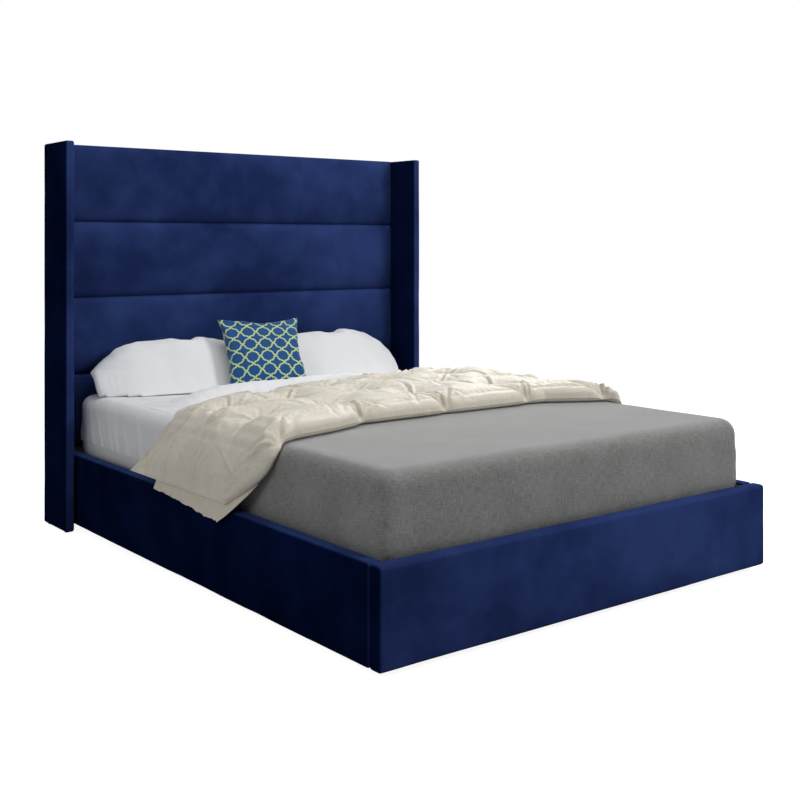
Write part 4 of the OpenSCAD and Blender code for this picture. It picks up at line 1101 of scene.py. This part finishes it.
def bag(width, depth, step, thickness, pressure):
    """A stuffed bag sewn from two flat panels, as a mesh round the origin, with its flat coordinates."""
    columns, rows = round(width / step) | 1, round(depth / step) | 1
    u, v = crossed(np.linspace(-1, 1, columns), np.linspace(-1, 1, rows))
    dome = np.sqrt(np.clip((1 - u**4) * (1 - v**4), 0, 1))
    top = stacked(u * width / 2, v * depth / 2, thickness / 2 * dome)
    index = np.arange(columns * rows).reshape(columns, rows)
    inside = (np.abs(u) < 1 - 1e-9) & (np.abs(v) < 1 - 1e-9)
    below = index.copy()
    below[inside] = columns * rows + np.arange(inside.sum())
    points = joined(top.reshape(-1, 3), (top * [1, 1, -1])[inside])
    faces = joined(quads_of(index), quads_of(below)[:, ::-1])
    mesh = new_mesh("bag", points, faces)
    rest = points * [1, 1, 0.02]
    points = settle(mesh.copy(), rest, [], pressure, 15.0, 0.35)
    return mesh, points, rest


def sag(points, size):
    """Share of the droop at each point of a bag: full at its ends' corners, none at its middle."""
    along, across = (np.clip(np.abs(points[:, i]) / (size[i] / 2), 0, 1) for i in (0, 1))
    return along**4 * across**2


def cut_flat(mesh, floor):
    """Cuts a closed mesh off below a height and closes it there."""
    made = read(mesh)
    everything = made.verts[:] + made.edges[:] + made.faces[:]
    bmesh.ops.bisect_plane(
        made, geom=everything, dist=1e-6, plane_co=(0, 0, floor), plane_no=(0, 0, -1), clear_outer=True
    )
    fill_holes(made)
    written(made, mesh)


def outlined(points, flat, cut, size, draw, blunt):
    """Brings a bag's seam onto an outline whose sides are drawn in at their middles and whose corners are
    pulled back, each by a share of the bag's size."""
    share = flat[:, :2] / (np.array(cut) / 2)
    moved = points.copy()
    for axis in (0, 1):
        along = share[:, 1 - axis]
        on_seam = np.abs(share[:, axis]) > 1 - 1e-6
        stops, first = np.unique(np.round(along[on_seam], 6), return_index=True)
        out = np.abs(points[on_seam, axis])
        reach = np.array([out[np.abs(along[on_seam] - k) < 1e-5].mean() for k in stops])
        wanted = size[axis] / 2 * (1 - draw * (1 - along**2)) * (1 - blunt * along**6)
        moved[:, axis] *= wanted / np.interp(along, stops, reach)
    moved[:, 2] *= size[2] / (moved[:, 2].max() - moved[:, 2].min())
    return moved


def stuffed(
    node, material, slot, size, cut, tilt_deg, spin_deg, at, floor, step, pressure, shape, droop,
    draw, blunt,
):
    """A bag blown up, brought to its outline, shaped, leaned, and cut flat at a floor height."""
    mesh, points, flat = bag(*cut, step, 0.04, pressure)
    points = points - (points.max(0) + points.min(0)) / 2
    points = outlined(points, flat, cut, size, draw, blunt)
    points = shape(points, flat)
    tilt, spin = math.radians(tilt_deg), math.radians(spin_deg)
    lean = np.array([[1, 0, 0], [0, math.cos(tilt), -math.sin(tilt)], [0, math.sin(tilt), math.cos(tilt)]])
    turn = np.array([[math.cos(spin), -math.sin(spin), 0], [math.sin(spin), math.cos(spin), 0], [0, 0, 1]])
    down = droop * sag(points, size)
    points = points @ lean.T @ turn.T + np.array(at)
    points[:, 2] -= down
    mesh.vertices.foreach_set("co", points.ravel())
    mesh.update()
    spread(mesh, flat[:, :2])
    cut_flat(mesh, floor)
    piece = place(f"{node}_cotton", mesh, material, "platform", slot, node)
    smoother = piece.modifiers.new("smooth", "SUBSURF")
    smoother.levels = smoother.render_levels = 1


def creased(points, flat, half, size, seed):
    """Small folds that run in from a bag's corners and seams."""
    corner = half - np.abs(flat[:, :2])
    inside = corner.min(1)
    near = np.exp(-np.hypot(*corner.T) / (0.22 * half.min()))
    seam = np.exp(-inside / 0.02)
    fan = np.arctan2(corner[:, 1], corner[:, 0])
    fold = np.sin(11 * fan + seed) + 0.6 * np.sin(19 * fan + 2 * seed)
    pucker = noise(flat * [1, 1, 0], 0.018, seed)
    move = size * (near * fold + 0.35 * seam * pucker)
    way = np.sign(points[:, 2]) * (inside > 1e-6)
    return points + stacked(0 * move, 0 * move, move * way)


def pillow_shape(seed):
    def shape(points, flat):
        points = creased(points, flat, np.array([0.38, 0.22]), 0.0055, seed)
        low_end = ease(np.abs(points[:, 0]), 0.25, 0.365) * ease(-points[:, 1], -0.02, 0.2)
        points[:, 0] -= 0.045 * np.sign(points[:, 0]) * low_end
        dents = 0.010 * noise(points * [1, 1, 0], 0.17, seed)
        rolls = 0.0045 * noise(points * [1, 0.35, 0], 0.07, seed + 5)
        points[:, 2] += (dents + rolls) * np.clip(points[:, 2] / 0.04, -1, 1)
        return points

    return shape


def cushion_shape(points, flat):
    points = creased(points, flat, np.array([0.182, 0.182]), 0.0025, 4)
    dip = bell((flat[:, 0] - 0.05) / 0.06) * ease(flat[:, 1], 0.07, 0.18)
    points[:, 1] -= 0.008 * dip
    return points


SHEET_TOP = mattress_high[2] + SHEET_T
for hand, side in SIDES.items():
    stuffed(
        f"{hand}_pillow", COTTON, "white_cotton",
        (0.730, 0.405, 0.160), (0.76, 0.44), 54, 7 * side,
        (side * 0.378, mattress_high[1] - 0.167, SHEET_TOP + 0.029), SHEET_TOP + 0.0003, 0.012, 1.6,
        pillow_shape(30 + side), 0.140, 0.02, 0.08,
    )
stuffed(
    "scatter_cushion", LATTICE, "blue_lattice",
    (0.350, 0.352, 0.100), (0.365, 0.365), 56, -15,
    (-0.079, mattress_high[1] - 0.294, SHEET_TOP + 0.136), SHEET_TOP + 0.0003, 0.007, 2.0,
    cushion_shape, 0, 0.15, 0,
)


BAND_PUFF = 0.055
BAND_SIDE_RUN = 0.330


def top_sheet():
    """Folded-down band between the duvet and the pillows, which runs on under the duvet."""
    low, high = box_of("top_sheet")
    x, t = crossed(np.linspace(low[0] + 0.001, high[0] - 0.001, 260), np.linspace(0, 1, 56))
    start = np.minimum(duvet_edge(DUVET_RIGHT_X - x, 2) + 0.012, high[1] - 0.004)
    hidden = 0.2  # share of the rows that lie under the duvet
    covered = low[1] + t / hidden * (start - low[1])
    bare = start + (t - hidden) / (1 - hidden) * (high[1] - 0.001 - start)
    y = np.where(t < hidden, covered, bare)
    s = np.clip((y - start) / (high[1] - start), 0, 1)
    at = stacked(x, y, 0 * x)
    side = (1 - np.cos(np.pi * np.minimum(1, (x - low[0]) / BAND_SIDE_RUN))) / 2
    swell = side * np.minimum(1, (high[1] - start) / 0.06)
    full = 1 + 0.10 * noise(at, 0.12, 81) + 0.10 * noise(at * [1, 0.3, 1], 0.045, 82)
    rise = BAND_PUFF * swell * np.sin(np.pi * s) ** 0.8 * np.minimum(full, 1.05)
    wrinkle = 0.0016 * noise(at * [1, 0.5, 1], 0.022, 83) * np.sin(np.pi * s)
    z = low[2] + 0.0003 + 0.0024 * ease(x, low[0], low[0] + 0.06) + np.maximum(rise + wrinkle, 0)
    upper = stacked(x, y, z)
    under = stacked(x, y, 0 * x + low[2] + 0.0001)
    ring = joined(np.swapaxes(upper, 0, 1), np.swapaxes(under, 0, 1)[::-1])
    mesh = grid_mesh("band", ring, close_rows=True)
    closed(mesh)
    unroll(mesh)
    place_padded(0.3, "top_sheet_cotton", mesh, COTTON, "platform", "white_cotton", "top_sheet")


def lift_strap():
    """Webbing loop under the foot tube, stitched to itself below the tube."""
    low, high = box_of("lift_strap")
    middle, radius, thick = (low[1] + high[1]) / 2, (high[1] - low[1]) / 2, 0.002
    bottom = low[2] + radius
    sweep = np.linspace(math.pi, 2 * math.pi, 25)
    legs = np.linspace(high[2], bottom, 9)[:-1]
    rings = []
    for off in (0, thick):
        r = radius - off
        bend = [(middle + r * math.cos(a), bottom + r * math.sin(a)) for a in sweep]
        rings.append([(middle - r, z) for z in legs] + bend + [(middle + r, z) for z in legs[::-1]])
    xs = low[0] + (high[0] - low[0]) * joined([0.0, 0.02], np.linspace(0.06, 0.94, 23), [0.98, 1.0])
    edge = np.minimum(xs - low[0], high[0] - xs)
    thin = 0.0005 * (1 - ease(edge, 0, 0.0025))
    outer, inner = (np.array(r) for r in rings)
    way = (inner - outer) / thick
    ribs = 0.00015 * np.cos(2 * np.pi * (xs - low[0]) / ((high[0] - low[0]) / 12))
    sheets = []
    for line, sign in ((outer, 1), (inner, -1)):
        move = sign * (thin + 0.00015 - ribs)
        at = line[None] + way[None] * move[:, None, None]
        sheets.append(np.concatenate([np.broadcast_to(xs[:, None, None], at.shape[:2] + (1,)), at], -1))
    loop = joined(sheets[0], sheets[1][::-1])
    mesh = grid_mesh("strap", loop, close_rows=True)
    made = read(mesh)
    fill_holes(made)
    for z in (high[2] - 0.008, high[2] - 0.016):
        for x in np.linspace(low[0] + 0.005, high[0] - 0.005, 9):
            for y in (middle - radius, middle + radius):
                stitch = bmesh.ops.create_uvsphere(made, u_segments=8, v_segments=6, radius=1)
                for vertex in stitch["verts"]:
                    vertex.co = (x + vertex.co.x * 0.0015, y + vertex.co.y * 0.0004, z + vertex.co.z * 0.0004)
    written(made, mesh)
    unroll(mesh)
    place("lift_strap_webbing", mesh, WEBBING, "platform", "black_webbing", "lift_strap")


top_sheet()
lift_strap()
